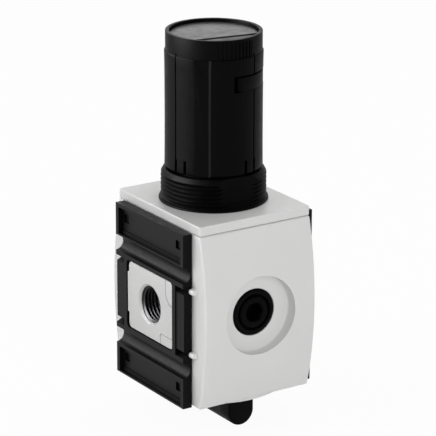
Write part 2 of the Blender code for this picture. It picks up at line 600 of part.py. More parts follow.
def make_side_plate(name, side, material):
    plate = piece(name, prism(clamp_profile(side), -PLATE_DEPTH / 2, PLATE_DEPTH / 2, "Y"), material)
    frame_half = BLOCK_WIDTH / 2 + GAP + FRAME_WIDTH
    frame_rise = NOTCH_OFFSET + NOTCH_HALF
    boolean(plate, block((side * (PLATE_INNER + EAR_THICK), side * PLATE_OUTER), (-frame_half, frame_half),
                         (CLAMP_Z - frame_rise, CLAMP_Z + frame_rise)), "UNION")
    window = rounded_rectangle(BLOCK_WIDTH / 2 + GAP, BLOCK_HEIGHT / 2 + GAP, BLOCK_CORNER + GAP, (0, PORT_Z))
    inner, outer = sorted((side * (PLATE_INNER - GAP), side * (PLATE_OUTER + GAP)))
    boolean(plate, prism(window, inner, outer, "X"))
    ear_half = BLOCK_WIDTH / 2 + EAR_REACH + GAP
    boolean(plate, block((side * (PLATE_INNER - GAP), side * (PLATE_INNER + EAR_THICK + GAP)),
                         (-ear_half, ear_half),
                         (PORT_Z - EAR_HEIGHT / 2 - GAP, PORT_Z + EAR_HEIGHT / 2 + GAP)))
    panel_half = PLATE_DEPTH / 2 - PANEL_SIDE_RIM
    floor = PLATE_OUTER - PANEL_RECESS
    cove_edge = COVE_OFFSET + COVE_RADIUS
    for low, high in ((PLATE_BOTTOM, CLAMP_Z - cove_edge), (CLAMP_Z + cove_edge, PLATE_TOP)):
        foot = low + PANEL_LOW_RIM + PANEL_STEP_HEIGHT
        boolean(plate, block((side * floor, side * (PLATE_OUTER + GAP)), (-panel_half, panel_half),
                             (foot, high - PANEL_TOP_RIM)))
        boolean(plate, block((side * (floor + PANEL_STEP_STANDS), side * (PLATE_OUTER + GAP)),
                             (-panel_half, panel_half), (low + PANEL_LOW_RIM, foot)))
        middle = (low + high) / 2 + LATCH_RISE
        for reach in (-LATCH_FRONT, LATCH_REAR):
            boolean(plate, block((side * (PLATE_INNER + LATCH_WALL), side * (PLATE_OUTER + GAP)),
                                 (reach - LATCH_LENGTH / 2, reach + LATCH_LENGTH / 2),
                                 (middle - LATCH_HEIGHT / 2, middle + LATCH_HEIGHT / 2)))
    return plate


def make_port_block(name, side, material):
    outline = rounded_rectangle(BLOCK_WIDTH / 2, BLOCK_HEIGHT / 2, BLOCK_CORNER, (0, PORT_Z))
    inner, outer = sorted((side * PLATE_INNER, side * BLOCK_FACE))
    body = piece(name, prism(outline, inner, outer, "X"), material)
    rear = BLOCK_WIDTH / 2
    for low, high in ((BLOCK_STEP_TOP, BLOCK_HEIGHT), (-BLOCK_HEIGHT, -BLOCK_STEP_LOW)):
        boolean(body, block((side * (PLATE_INNER + EAR_THICK), side * (BLOCK_FACE + GAP)),
                            (rear - BLOCK_STEP, rear + GAP), (PORT_Z + low, PORT_Z + high)))
    ear_half = BLOCK_WIDTH / 2 + EAR_REACH
    boolean(body, block((side * PLATE_INNER, side * (PLATE_INNER + EAR_THICK)), (-ear_half, ear_half),
                        (PORT_Z - EAR_HEIGHT / 2, PORT_Z + EAR_HEIGHT / 2)), "UNION")
    root = PLATE_INNER + EAR_THICK / 2
    groove_start = SPIGOT_TIP + SPIGOT_LIP
    groove_end = groove_start + SPIGOT_GROOVE_WIDTH
    groove_radius = SPIGOT_RADIUS - SPIGOT_GROOVE_DEPTH
    spigot = [(0, SPIGOT_TIP), (SPIGOT_RADIUS, SPIGOT_TIP), (SPIGOT_RADIUS, groove_start),
              (groove_radius, groove_start), (groove_radius, groove_end), (SPIGOT_RADIUS, groove_end),
              (SPIGOT_RADIUS, root), (0, root)]
    spigot = [(radius, side * along) for radius, along in spigot]
    boolean(body, turned(spigot, MID_SIDES, "X", (0, 0, PORT_Z)), "UNION")
    mouth = PORT_RADIUS + PORT_LEAD_IN
    bore = [(0, SPIGOT_TIP - GAP), (PORT_RADIUS, SPIGOT_TIP - GAP), (PORT_RADIUS, BLOCK_FACE - PORT_LEAD_IN),
            (mouth, BLOCK_FACE), (mouth, BLOCK_FACE + GAP), (0, BLOCK_FACE + GAP)]
    bore = [(radius, side * along) for radius, along in bore]
    boolean(body, turned(bore, MID_SIDES, "X", (0, 0, PORT_Z)))
    return body


def make_port_seal(name, side, material):
    start = SPIGOT_TIP + SPIGOT_LIP + GAP
    low, high = sorted((side * start, side * (start + SPIGOT_GROOVE_WIDTH - 2 * GAP)))
    inner = SPIGOT_RADIUS - SPIGOT_GROOVE_DEPTH + GAP
    return piece(name, seal_ring(inner, SPIGOT_RADIUS, low, high, SMALL_SIDES, "X", (0, 0, PORT_Z)), material)


def make_gauge_plug(name, end, material):
    tip = PLUG_UNDER - PLUG_SHANK_LENGTH
    groove_radius = PLUG_SHANK_RADIUS - PLUG_GROOVE_DEPTH
    groove_end = PLUG_GROOVE + PLUG_GROOVE_WIDTH
    outline = [(0, tip), (PLUG_SHANK_RADIUS, tip), (PLUG_SHANK_RADIUS, PLUG_GROOVE),
               (groove_radius, PLUG_GROOVE), (groove_radius, groove_end), (PLUG_SHANK_RADIUS, groove_end),
               (PLUG_SHANK_RADIUS, PLUG_UNDER), (PLUG_HEAD_RADIUS, PLUG_UNDER),
               (PLUG_HEAD_RADIUS, PLUG_FACE - PLUG_CHAMFER),
               (PLUG_HEAD_RADIUS - PLUG_CHAMFER, PLUG_FACE), (0, PLUG_FACE)]
    outline = [(radius, -end * along) for radius, along in outline]
    plug = piece(name, turned(outline, MID_SIDES, "Y", (0, 0, PORT_Z)), material)
    deep, out = sorted((end * (PLUG_FACE - PLUG_HEX_DEPTH), end * (PLUG_FACE + GAP)))
    boolean(plug, prism(hexagon(PLUG_HEX, (0, PORT_Z)), deep, out, "Y"))
    return plug


def make_gauge_seal(name, end, material):
    start = PLUG_GROOVE + GAP
    low, high = sorted((-end * start, -end * (start + PLUG_GROOVE_WIDTH - 2 * GAP)))
    inner = PLUG_SHANK_RADIUS - PLUG_GROOVE_DEPTH + GAP
    seal = seal_ring(inner, PLUG_SHANK_RADIUS, low, high, SMALL_SIDES, "Y", (0, 0, PORT_Z))
    return piece(name, seal, material)


def make_closing_plug(material):
    bottom = GAP - BOSS_DROP
    groove_radius = CLOSING_RADIUS - RIM_GROOVE_DEPTH
    groove_top = RIM_GROOVE + RIM_SEAL_THICK + 2 * GAP
    guide_boss = GUIDE_BORE + GUIDE_SEAL_DEPTH + GUIDE_WALL
    boss_top = SOCKET_DEPTH + GUIDE_BOSS_RISE
    seal_top = GUIDE_GROOVE + GUIDE_SEAL_WIDTH
    plug = piece("closing_plug", turned([
        (0, bottom), (CLOSING_RADIUS - STEM_CHAMFER, bottom), (CLOSING_RADIUS, bottom + STEM_CHAMFER),
        (CLOSING_RADIUS, RIM_GROOVE), (groove_radius, RIM_GROOVE), (groove_radius, groove_top),
        (CLOSING_RADIUS, groove_top), (CLOSING_RADIUS, CLOSING_TOP), (guide_boss, CLOSING_TOP),
        (guide_boss, boss_top), (GUIDE_BORE, boss_top), (GUIDE_BORE, seal_top),
        (GUIDE_BORE + GUIDE_SEAL_DEPTH, seal_top), (GUIDE_BORE + GUIDE_SEAL_DEPTH, GUIDE_GROOVE),
        (GUIDE_BORE, GUIDE_GROOVE), (GUIDE_BORE, GUIDE_FLOOR), (0, GUIDE_FLOOR)], MID_SIDES), material)
    round_end = list(reversed(arc((0, -GRIP_CENTRE), GRIP_RADIUS, 180, 360, 12)))
    grip = [(-GRIP_RADIUS, 0), (GRIP_RADIUS, 0)] + round_end
    boolean(plug, prism(grip, -GRIP_HALF_LENGTH, GRIP_HALF_LENGTH, "Y"), "UNION")
    recess_half = GRIP_HALF_LENGTH - GRIP_END
    for side in (-1, 1):
        boolean(plug, block((side * (GRIP_RADIUS - GRIP_RECESS), side * (GRIP_RADIUS + GRIP_RECESS)),
                            (-recess_half, recess_half), (-GRIP_DROP, -GRIP_ROOT)))
    return plug


def make_rim_seal(material):
    low = RIM_GROOVE + GAP
    inner = CLOSING_RADIUS - RIM_GROOVE_DEPTH + GAP
    return piece("closing_plug_seal", seal_ring(inner, CLOSING_RADIUS, low, low + RIM_SEAL_THICK, MID_SIDES),
                 material)


def make_guide_seal(material):
    low = GUIDE_GROOVE + GAP
    return piece("guide_seal", seal_ring(GUIDE_BORE, GUIDE_BORE + GUIDE_SEAL_DEPTH - GAP, low,
                                         low + GUIDE_SEAL_WIDTH - 2 * GAP, SMALL_SIDES), material)


def make_valve_seat(material):
    return piece("valve_seat", turned([
        (SEAT_BORE, INLET_CHAMBER_TOP + GAP), (SEAT_FLANGE, INLET_CHAMBER_TOP + GAP),
        (SEAT_FLANGE, SEAT_STEP - GAP), (SEAT_NECK, SEAT_STEP - GAP), (SEAT_NECK, THROAT_FLOOR),
        (SEAT_LIP, THROAT_FLOOR), (SEAT_LIP, SEAT_TOP), (SEAT_BORE, SEAT_TOP)], MID_SIDES), material)


def make_nozzle(material):
    low = INLET_CHAMBER_TOP + GAP
    top = low + NOZZLE_LENGTH
    return piece("filling_nozzle", turned([
        (NOZZLE_JET, low), (NOZZLE_RADIUS, low), (NOZZLE_RADIUS, top - NOZZLE_CHAMFER),
        (NOZZLE_RADIUS - NOZZLE_CHAMFER, top), (NOZZLE_JET, top)], SMALL_SIDES, "Z",
        (*around(NOZZLE_REACH, NOZZLE_ANGLE), 0)), material)


def make_piston_group(steel, brass, rubber, alloy):
    """Stem, retainer, seal, poppet, sleeve, piston and nut, stacked from the bottom with gaps."""
    hole = STEM_RADIUS + GAP
    seal_low = SEAT_TOP + GAP
    seal_high = seal_low + POPPET_SEAL_THICK
    poppet_radius = SEAT_LIP + POPPET_OVERLAP
    poppet_low = seal_high + GAP
    poppet_high = poppet_low + POPPET_THICK
    retainer_low = SEAT_TOP - RETAINER_THICK
    shoulder = retainer_low - GAP
    hub_top = PISTON_TOP + PISTON_HUB_RISE
    nut_low = hub_top + GAP
    nut_high = nut_low + STEM_NUT_THICK
    low = GUIDE_FLOOR + STEM_CLEAR
    top = nut_high + STEM_STANDS
    piece("valve_stem", turned([
        (0, low), (GUIDE_ROD_RADIUS - STEM_CHAMFER, low), (GUIDE_ROD_RADIUS, low + STEM_CHAMFER),
        (GUIDE_ROD_RADIUS, shoulder), (STEM_RADIUS, shoulder), (STEM_RADIUS, top - STEM_CHAMFER),
        (STEM_RADIUS - STEM_CHAMFER, top), (0, top)], SMALL_SIDES), steel)
    piece("seal_retainer", ring(hole, SEAT_BORE - RETAINER_CLEAR, retainer_low, SEAT_TOP, SMALL_SIDES), brass)
    piece("poppet_seal", ring(hole, poppet_radius, seal_low, seal_high, MID_SIDES), rubber)
    piece("poppet", turned([
        (hole, poppet_low), (poppet_radius, poppet_low), (poppet_radius, poppet_low + POPPET_RIM),
        (SLEEVE_RADIUS + POPPET_CONE, poppet_high), (hole, poppet_high)], MID_SIDES), brass)
    sleeve = ring(hole, SLEEVE_RADIUS, poppet_high + GAP, PISTON_BOTTOM - GAP, SMALL_SIDES)
    piece("spacer_sleeve", sleeve, brass)
    groove_low = PISTON_BOTTOM + PISTON_GROOVE_RISE
    groove_high = groove_low + PISTON_GROOVE_HEIGHT
    groove = PISTON_RADIUS - PISTON_GROOVE_DEPTH
    piece("piston", turned([
        (hole, PISTON_BOTTOM), (PISTON_RADIUS, PISTON_BOTTOM), (PISTON_RADIUS, groove_low),
        (groove, groove_low), (groove, groove_high), (PISTON_RADIUS, groove_high),
        (PISTON_RADIUS, PISTON_TOP), (CENTRING_RADIUS, PISTON_TOP), (CENTRING_RADIUS, hub_top),
        (hole, hub_top)], MID_SIDES), alloy)
    piece("piston_seal", seal_ring(groove + GAP, PISTON_BORE - GAP, groove_low + GAP, groove_high - GAP,
                                   MID_SIDES), rubber)
    nut = piece("stem_nut", prism(hexagon(STEM_NUT_HEX), nut_low, nut_high), steel)
    boolean(nut, rod(hole, nut_low - GAP, nut_high + GAP, SMALL_SIDES))


def make_bonnet(material):
    shoulder_low = COLLAR_TOP - 2 * COLLAR_SHOULDER
    mouth_floor = COLLAR_TOP - COLLAR_RECESS
    bonnet = piece("bonnet", turned([
        (TOWER_BORE, BONNET_BOTTOM), (BONNET_SHANK, BONNET_BOTTOM), (BONNET_SHANK, COVER_TOP + GAP),
        (FLANGE_RADIUS, COVER_TOP + GAP), (FLANGE_RADIUS, FLANGE_TOP - TOWER_CHAMFER),
        (FLANGE_RADIUS - TOWER_CHAMFER, FLANGE_TOP), (COLLAR_RADIUS, FLANGE_TOP),
        (COLLAR_RADIUS, shoulder_low),
        (COLLAR_RADIUS - 0.25 * COLLAR_SHOULDER, COLLAR_TOP - 0.6 * COLLAR_SHOULDER),
        (COLLAR_RADIUS - COLLAR_SHOULDER, COLLAR_TOP), (COLLAR_MOUTH, COLLAR_TOP),
        (COLLAR_MOUTH, mouth_floor), (TOWER_RADIUS, mouth_floor), (TOWER_RADIUS, TOWER_TOP - TOWER_CHAMFER),
        (TOWER_RADIUS - TOWER_CHAMFER, TOWER_TOP), (JOURNAL_RADIUS + GAP, TOWER_TOP),
        (JOURNAL_RADIUS + GAP, ROOF_BOTTOM), (TOWER_BORE, ROOF_BOTTOM)], BIG_SIDES), material)
    flat = COLLAR_RADIUS - COLLAR_FLAT_CUT
    for end in (-1, 1):
        boolean(bonnet, block((-FLANGE_RADIUS, FLANGE_RADIUS), (end * flat, end * (FLANGE_RADIUS + GAP)),
                              (FLANGE_TOP + GAP, COLLAR_TOP + GAP)))
    boolean(bonnet, block((-KEYWAY_HALF, KEYWAY_HALF), (-KEYWAY_REACH, KEYWAY_REACH),
                          (BONNET_BOTTOM - GAP, KEYWAY_TOP)))
    return bonnet


def make_spindle(material):
    collar_top = ROOF_BOTTOM - GAP - THRUST_THICK - GAP
    collar_low = collar_top - SPINDLE_COLLAR_THICK
    groove_low = CLIP_BOTTOM - GAP / 2
    groove_high = CLIP_BOTTOM + CLIP_THICK + GAP / 2
    neck_top = HUB_BOTTOM - GAP
    spindle = piece("spindle", turned([
        (0, SPINDLE_BOTTOM), (SPINDLE_RADIUS - SPINDLE_CHAMFER, SPINDLE_BOTTOM),
        (SPINDLE_RADIUS, SPINDLE_BOTTOM + SPINDLE_CHAMFER), (SPINDLE_RADIUS, collar_low),
        (SPINDLE_COLLAR_RADIUS, collar_low), (SPINDLE_COLLAR_RADIUS, collar_top),
        (JOURNAL_RADIUS, collar_top), (JOURNAL_RADIUS, groove_low), (CLIP_GROOVE, groove_low),
        (CLIP_GROOVE, groove_high), (JOURNAL_RADIUS, groove_high), (JOURNAL_RADIUS, neck_top), (0, neck_top)],
        SMALL_SIDES), material)
    half = SQUARE_SIZE / 2
    boolean(spindle, block((-half, half), (-half, half), (groove_high + GAP, SQUARE_TOP)), "UNION")
    boolean(spindle, rod(SCREW_RADIUS + GAP, SQUARE_TOP - SCREW_REACH - GAP, SQUARE_TOP + GAP, SMALL_SIDES))
    return spindle


def make_thrust_washer(material):
    top = ROOF_BOTTOM - GAP
    washer = ring(JOURNAL_RADIUS + GAP, THRUST_RADIUS, top - THRUST_THICK, top, MID_SIDES)
    return piece("thrust_washer", washer, material)


def make_spindle_clip(material):
    clip = sector(CLIP_GROOVE + GAP, CLIP_RADIUS, CLIP_OPENING / 2, 360 - CLIP_OPENING / 2,
                  CLIP_BOTTOM, CLIP_BOTTOM + CLIP_THICK, 18)
    return piece("spindle_clip", clip, material)


def make_knob_screw(material):
    tip = SQUARE_TOP - SCREW_REACH
    head_top = SCREW_SEAT + SCREW_HEAD_THICK
    screw = piece("knob_screw", turned([
        (0, tip), (SCREW_RADIUS, tip), (SCREW_RADIUS, SCREW_SEAT), (SCREW_HEAD_RADIUS, SCREW_SEAT),
        (SCREW_HEAD_RADIUS, head_top - GAP), (SCREW_HEAD_RADIUS - GAP, head_top), (0, head_top)],
        SMALL_SIDES), material)
    boolean(screw, prism(hexagon(SCREW_DRIVE), head_top - SCREW_DRIVE_DEPTH, head_top + GAP))
    return screw


def make_spring_nut(material):
    bore = SPINDLE_RADIUS + GAP
    nut = piece("spring_nut", turned([
        (bore, NUT_BOTTOM - NUT_BOSS), (CENTRING_RADIUS, NUT_BOTTOM - NUT_BOSS),
        (CENTRING_RADIUS, NUT_BOTTOM), (NUT_RADIUS, NUT_BOTTOM), (NUT_RADIUS, NUT_TOP), (bore, NUT_TOP)],
        MID_SIDES), material)
    half = KEYWAY_HALF - GAP
    for end in (-1, 1):
        boolean(nut, block((-half, half), (end * (NUT_RADIUS - KEY_ROOT), end * (KEYWAY_REACH - GAP)),
                           (NUT_BOTTOM, NUT_TOP)), "UNION")
    return nut


def make_spring(material):
    """One round wire: a closed turn at each end and open turns between."""
    low = PISTON_TOP + GAP + WIRE_RADIUS
    high = NUT_BOTTOM - GAP - WIRE_RADIUS
    closed_rise = 2 * WIRE_RADIUS + GAP / 3
    open_rise = high - low - 2 * closed_rise
    points = []
    for step in range((SPRING_COILS + 2) * SPRING_POINTS + 1):
        turn = step / SPRING_POINTS
        open_turns = min(max(turn - 1, 0), SPRING_COILS)
        closed_turns = turn - open_turns
        height = low + closed_rise * closed_turns + open_rise * open_turns / SPRING_COILS
        points.append((SPRING_RADIUS * cos(2 * pi * turn), SPRING_RADIUS * sin(2 * pi * turn), height))
    curve = bpy.data.curves.new("adjusting_spring", "CURVE")
    curve.dimensions = "3D"
    curve.bevel_depth = WIRE_RADIUS
    curve.bevel_resolution = 1
    curve.use_fill_caps = True
    spline = curve.splines.new("POLY")
    spline.points.add(len(points) - 1)
    for point, place in zip(spline.points, points):
        point.co = (*place, 1)
    curve.materials.append(material)
    item = bpy.data.objects.new("adjusting_spring", curve)
    bpy.context.scene.collection.objects.link(item)
    item.parent = FRAME
    return item


def make_knob(material):
    rim_inner = KNOB_CAP_RADIUS - KNOB_RIM
    web_low = KNOB_FLOOR - KNOB_WEB
    middle = (KNOB_BOTTOM + KNOB_LEDGE) / 2
    knob = piece("knob", turned([
        (KNOB_BORE, KNOB_BOTTOM), (KNOB_GRIP - KNOB_FOOT_ROUND, KNOB_BOTTOM),
        (KNOB_GRIP, KNOB_BOTTOM + KNOB_FOOT_ROUND), (KNOB_WAIST, middle - KNOB_WAIST_LENGTH / 2),
        (KNOB_WAIST, middle + KNOB_WAIST_LENGTH / 2), (KNOB_GRIP, KNOB_LEDGE), (KNOB_CAP_RADIUS, KNOB_LEDGE),
        (KNOB_CAP_RADIUS, KNOB_TOP - KNOB_TOP_ROUND), (KNOB_CAP_RADIUS - KNOB_TOP_ROUND, KNOB_TOP),
        (rim_inner, KNOB_TOP), (rim_inner, KNOB_FLOOR), (SCREW_HEAD_RADIUS + GAP, KNOB_FLOOR),
        (SCREW_HEAD_RADIUS + GAP, COUNTERBORE_FLOOR), (SCREW_RADIUS + GAP, COUNTERBORE_FLOOR),
        (SCREW_RADIUS + GAP, HUB_BOTTOM), (HUB_RADIUS, HUB_BOTTOM), (HUB_RADIUS, web_low),
        (KNOB_BORE, web_low)], BIG_SIDES), material)
    half = SQUARE_SIZE / 2 + GAP
    boolean(knob, block((-half, half), (-half, half), (HUB_BOTTOM - GAP, SOCKET_CEILING)))
    low = KNOB_BOTTOM - GAP
    high = KNOB_LEDGE + GAP
    outside = KNOB_GRIP + GAP
    for start, stop in CHANNEL_ANGLES:
        boolean(knob, sector(KNOB_CAP_RADIUS, outside, start, stop, low, high, 4))
    for degrees in GROOVE_ANGLES:
        boolean(knob, spoke(KNOB_GRIP - GROOVE_DEPTH, outside, GROOVE_WIDTH, low, high, degrees))
    for middle_angle in SLOT_CENTRES:
        for degrees in (middle_angle - SLOT_SPREAD, middle_angle + SLOT_SPREAD):
            boolean(knob, spoke(KNOB_GRIP - SLOT_DEPTH, outside, SLOT_WIDTH, low, KNOB_BOTTOM + SLOT_HEIGHT,
                                degrees))
    boolean(knob, sector(KNOB_BORE - GAP, outside, LOCK_FROM, LOCK_TO, LOCK_TOP - LOCK_HEIGHT, LOCK_TOP, 12))
    for number in range(RIB_COUNT):
        degrees = RIB_FIRST + (RIB_LAST - RIB_FIRST) * number / (RIB_COUNT - 1)
        rib = spoke(KNOB_CAP_RADIUS - RIB_ROOT, KNOB_CAP_RADIUS + RIB_STANDS, RIB_WIDTH, KNOB_LEDGE - GAP,
                    KNOB_TOP - RIB_DROP, degrees)
        boolean(knob, rib, "UNION")
    return knob


def make_lock_slide(material):
    """The curved slide that fills the padlock slot; in use it is pulled out for the padlock."""
    outer = KNOB_GRIP - SLIDE_SINK
    slide = sector(outer - SLIDE_THICK, outer, LOCK_FROM + SLIDE_LEAD, LOCK_TO - SLIDE_TAIL,
                   LOCK_TOP - LOCK_HEIGHT + GAP, LOCK_TOP - SLIDE_HEADROOM, 12)
    return piece("lock_slide", slide, material)


def make_knob_cap(material):
    """The large part of the disc in the knob's top, cut off along a chord near the front."""
    cap = piece("knob_cap", rod(DISC_RADIUS, DISC_BOTTOM, DISC_TOP, BIG_SIDES), material)
    boolean(cap, spoke(CAP_CHORD, DISC_RADIUS + GAP, 3 * DISC_RADIUS, DISC_BOTTOM - GAP, DISC_TOP + GAP,
                       KNOB_TURN))
    return cap


def make_knob_window(material):
    """The small part of that disc, in front of the chord."""
    reach = CAP_CHORD + CHORD_GROOVE
    half = atan2(sqrt(DISC_RADIUS ** 2 - reach ** 2), reach) * 180 / pi
    outline = [around(DISC_RADIUS, KNOB_TURN - half + 2 * half * step / 12) for step in range(13)]
    return piece("knob_window", prism(outline, DISC_BOTTOM, DISC_TOP), material)


def build():
    global FRAME
    clear_scene()
    FRAME = bpy.data.objects.new("valve_axis", None)
    FRAME.location = (0, 0, GRIP_DROP)
    bpy.context.scene.collection.objects.link(FRAME)
    shell = make_material("light_grey_housing", (0.62, 0.62, 0.61), 0.45)
    zinc = make_material("die_cast_port", (0.58, 0.58, 0.57), 0.4, 0.6)
    black = make_material("black_moulding", (0.02, 0.02, 0.021), 0.4)
    cap_black = make_material("knob_cap_black", (0.05, 0.05, 0.052), 0.5)
    steel = make_material("bright_steel", (0.6, 0.6, 0.6), 0.3, 1.0)
    brass = make_material("brass", (0.72, 0.54, 0.25), 0.35, 1.0)
    alloy = make_material("piston_alloy", (0.72, 0.72, 0.73), 0.35, 1.0)
    rubber = make_material("black_rubber", (0.03, 0.03, 0.03), 0.8)
    make_housing(shell)
    make_cover(shell)
    for side, plate, port in ((-1, "left", "inlet"), (1, "right", "outlet")):
        make_side_plate(plate + "_side_plate", side, black)
        make_port_block(port + "_port_block", side, zinc)
        make_port_seal(port + "_port_seal", side, rubber)
    for end, name in ((-1, "front"), (1, "rear")):
        make_gauge_plug(name + "_gauge_plug", end, black)
        make_gauge_seal(name + "_gauge_seal", end, rubber)
    make_closing_plug(black)
    make_rim_seal(rubber)
    make_guide_seal(rubber)
    make_valve_seat(brass)
    make_nozzle(brass)
    make_piston_group(steel, brass, rubber, alloy)
    make_bonnet(black)
    make_spindle(steel)
    make_thrust_washer(brass)
    make_spindle_clip(steel)
    make_knob_screw(steel)
    make_spring_nut(brass)
    make_spring(steel)
    make_knob(black)
    make_lock_slide(black)
    make_knob_cap(cap_black)
    make_knob_window(cap_black)


build()
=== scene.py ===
"""Filling valve for compressed air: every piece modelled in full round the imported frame.

Sizes are millimetres times MM. Heights count from the underside of the housing; dress() lifts each
finished piece by DATUM, which brings it to the frame's own heights. Angles round the valve's axis count
from the front, and grow towards the outlet.
"""
from math import ceil, cos, pi, radians, sin, sqrt, tan

import bmesh
import bpy
from mathutils import Matrix, Vector


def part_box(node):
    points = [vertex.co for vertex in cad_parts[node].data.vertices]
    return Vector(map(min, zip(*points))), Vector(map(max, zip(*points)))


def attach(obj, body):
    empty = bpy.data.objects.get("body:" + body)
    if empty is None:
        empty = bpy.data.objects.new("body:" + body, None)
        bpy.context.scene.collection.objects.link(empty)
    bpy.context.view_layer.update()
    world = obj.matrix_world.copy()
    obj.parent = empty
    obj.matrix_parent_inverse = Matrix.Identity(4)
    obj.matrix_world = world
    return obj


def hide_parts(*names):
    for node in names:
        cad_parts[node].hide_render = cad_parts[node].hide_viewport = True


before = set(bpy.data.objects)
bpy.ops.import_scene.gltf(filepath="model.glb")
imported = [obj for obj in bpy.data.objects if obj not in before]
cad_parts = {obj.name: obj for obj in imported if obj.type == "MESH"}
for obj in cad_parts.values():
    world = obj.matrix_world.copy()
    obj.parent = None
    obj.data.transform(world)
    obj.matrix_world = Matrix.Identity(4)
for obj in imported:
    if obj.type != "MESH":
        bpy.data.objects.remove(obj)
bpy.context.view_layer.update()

MM = 0.001
GAP = 0.3 * MM                      # between neighbouring mouldings, and past a face in a cut
PAST = 1 * MM                       # how far a larger cut runs past what it cuts
SMOOTH = 160                        # sides of the large round shapes
MEDIUM = 96
FINE = 64
COARSE = 32
WELD = 0.00005 * MM                 # points closer than this are one
THREAD_WELD = 0.003 * MM
CARVE_WELD = 0.0005 * MM
THREAD_FLANK = 25                   # degrees

# Housing and cover
HALF_WIDTH = 22.2 * MM
HALF_DEPTH = 25.8 * MM
HOUSING_TOP = 61.2 * MM
BULGE = 3.9 * MM                    # of the front and the back, at mid height
BOSS_DROP = 1.1 * MM                # round foot that holds the closing plug
BOSS_RADIUS = 25.0 * MM
BOSS_HALF = 21.8 * MM
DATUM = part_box("housing")[0][2] + BOSS_DROP
PORT_Z = HOUSING_TOP / 2
COVER_LOW = 61.36 * MM
COVER_TOP = 64.66 * MM
BORE = 17.7 * MM                    # for the bonnet
NOSE_ROOT = 21.0 * MM               # noses that fill the notches of the side plates
NOSE_TIP = 24.0 * MM
NOSE_ROOT_HALF = 1.5 * MM
NOSE_TIP_HALF = 0.75 * MM
NOSE_IN = 21.8 * MM
NOSE_OUT = 24.4 * MM

# Inside of the housing
PLUG_BORE = 19.0 * MM               # for the closing plug
PLUG_BORE_TOP = 9 * MM
CHAMBER_RADIUS = 15 * MM
CHAMBER_TOP = 25 * MM
SEAT_BORE = 9.1 * MM
SEAT_BORE_TOP = 27.5 * MM
SEAT_HOLE = 8.2 * MM
SEAT_HOLE_TOP = 29.3 * MM
OUTLET_RADIUS = 10.3 * MM
OUTLET_TOP = 39.5 * MM
STEM_BORE = 4.8 * MM
CYLINDER_RADIUS = 16.2 * MM
CYLINDER_LOW = 43 * MM
CYLINDER_TOP = 53 * MM
SOCKET_RADIUS = 8.3 * MM            # for the spigot of a port block
SOCKET_FLOOR = 18.3 * MM
SOCKET_OUT = 24 * MM
PASSAGE_END = 18.6 * MM
PASSAGE_HALF = 5 * MM
PASSAGE_TOP = 36.6 * MM
INLET_IN = 13 * MM
INLET_LOW = 12 * MM
OUTLET_IN = 5.15 * MM
NOZZLE_PLACE = (12.6 * MM, -135)    # radius and angle
NOZZLE_BORE = 2.2 * MM
NOZZLE_LOW = 24.7 * MM
NOZZLE_TOP = 29.2 * MM
BYPASS_RADIUS = 1 * MM
BYPASS_TOP = 34 * MM

# Side plates
PLATE_IN = 22.5 * MM
PLATE_OUT = 26.0 * MM
PLATE_HALF = 21.5 * MM
CLAMP_Z = PORT_Z - 0.3 * MM
COVE_OFFSET = 16.9 * MM
COVE_RADIUS = 2.85 * MM
COVE_STEPS = 20
NOTCH_OFFSET = 11.25 * MM
NOTCH_HALF = 1.15 * MM
NOTCH_DEPTH = 2.5 * MM
WAIST = 0.35 * MM
FRAME_IN = 24.2 * MM                # frame round the window
FRAME_MARGIN = 1.9 * MM
WINDOW_CORNER = 1.6 * MM
EAR_POCKET_HALF = 16.8 * MM
EAR_POCKET_RISE = 9 * MM
EAR_POCKET_FACE = 24.5 * MM
PANEL_MARGIN = 1.7 * MM             # sunk panels above and below the coves
PANEL_HEAD = 1.3 * MM
PANEL_DEPTH = 1.85 * MM
PANEL_CORNER = 0.5 * MM
LEDGE_RISE = 0.4 * MM               # ledge along a panel's foot
LEDGE_MARGIN = 0.6 * MM
SQUARES = (-15.7 * MM, 17.4 * MM)   # square pockets in a panel, along the plate
SQUARE_HALF = 1.6 * MM
SQUARE_RISE = 1.5 * MM
SQUARE_OFFSET = 0.4 * MM
SQUARE_FLOOR = 0.8 * MM

# Port blocks
BLOCK_HALF = 14.3 * MM
BLOCK_RISE = 12.0 * MM
BLOCK_FACE = 25.8 * MM
BLOCK_STEP = 0.9 * MM               # the face is wider between two shoulders
SHOULDER_TOP = 8.0 * MM
SHOULDER_LOW = -6.6 * MM
EAR_FACE = 24.2 * MM
EAR_HALF = 16.5 * MM
EAR_RISE = 8.7 * MM
SPIGOT_TIP = 18.6 * MM
SPIGOT_RADIUS = 8.0 * MM
SPIGOT_END = 23.4 * MM
SEAL_GROOVE = 6.9 * MM
SEAL_LOW = 1.0 * MM                 # from the spigot's tip
SEAL_HIGH = 2.8 * MM
MARK_DEPTH = 0.35 * MM
PORT_MINOR = 5.72 * MM
PORT_MAJOR = 6.58 * MM
PORT_PITCH = 1.337 * MM
PORT_MOUTH = 7.2 * MM
PORT_THROAT = 6.5 * MM
PORT_LIP = 0.9 * MM
MOUTH_DEPTH = 0.7 * MM
SLEEVE_RADIUS = 6.75 * MM           # bare metal round the thread
SLEEVE_CONE = 0.65 * MM

# Lines on a port's face, (depth, height, fillet) in millimetres from the port's axis
TAB_LINE = [(-10.1, 12.6), (-10.5, 12.6), (-10.5, 6.3, 1.2), (-12.7, 3.8, 1.2), (-14.6, 3.8), (-14.6, 3.4),
            (-12.5, 3.4, 1.5), (-10.1, 6.1, 1.5)]
FOOT_LINE = [(-6.5, -12.6), (-6.9, -12.6), (-6.9, -8.4, 1.0), (-14.6, -8.4), (-14.6, -8.0), (-6.5, -8.0, 1.4)]

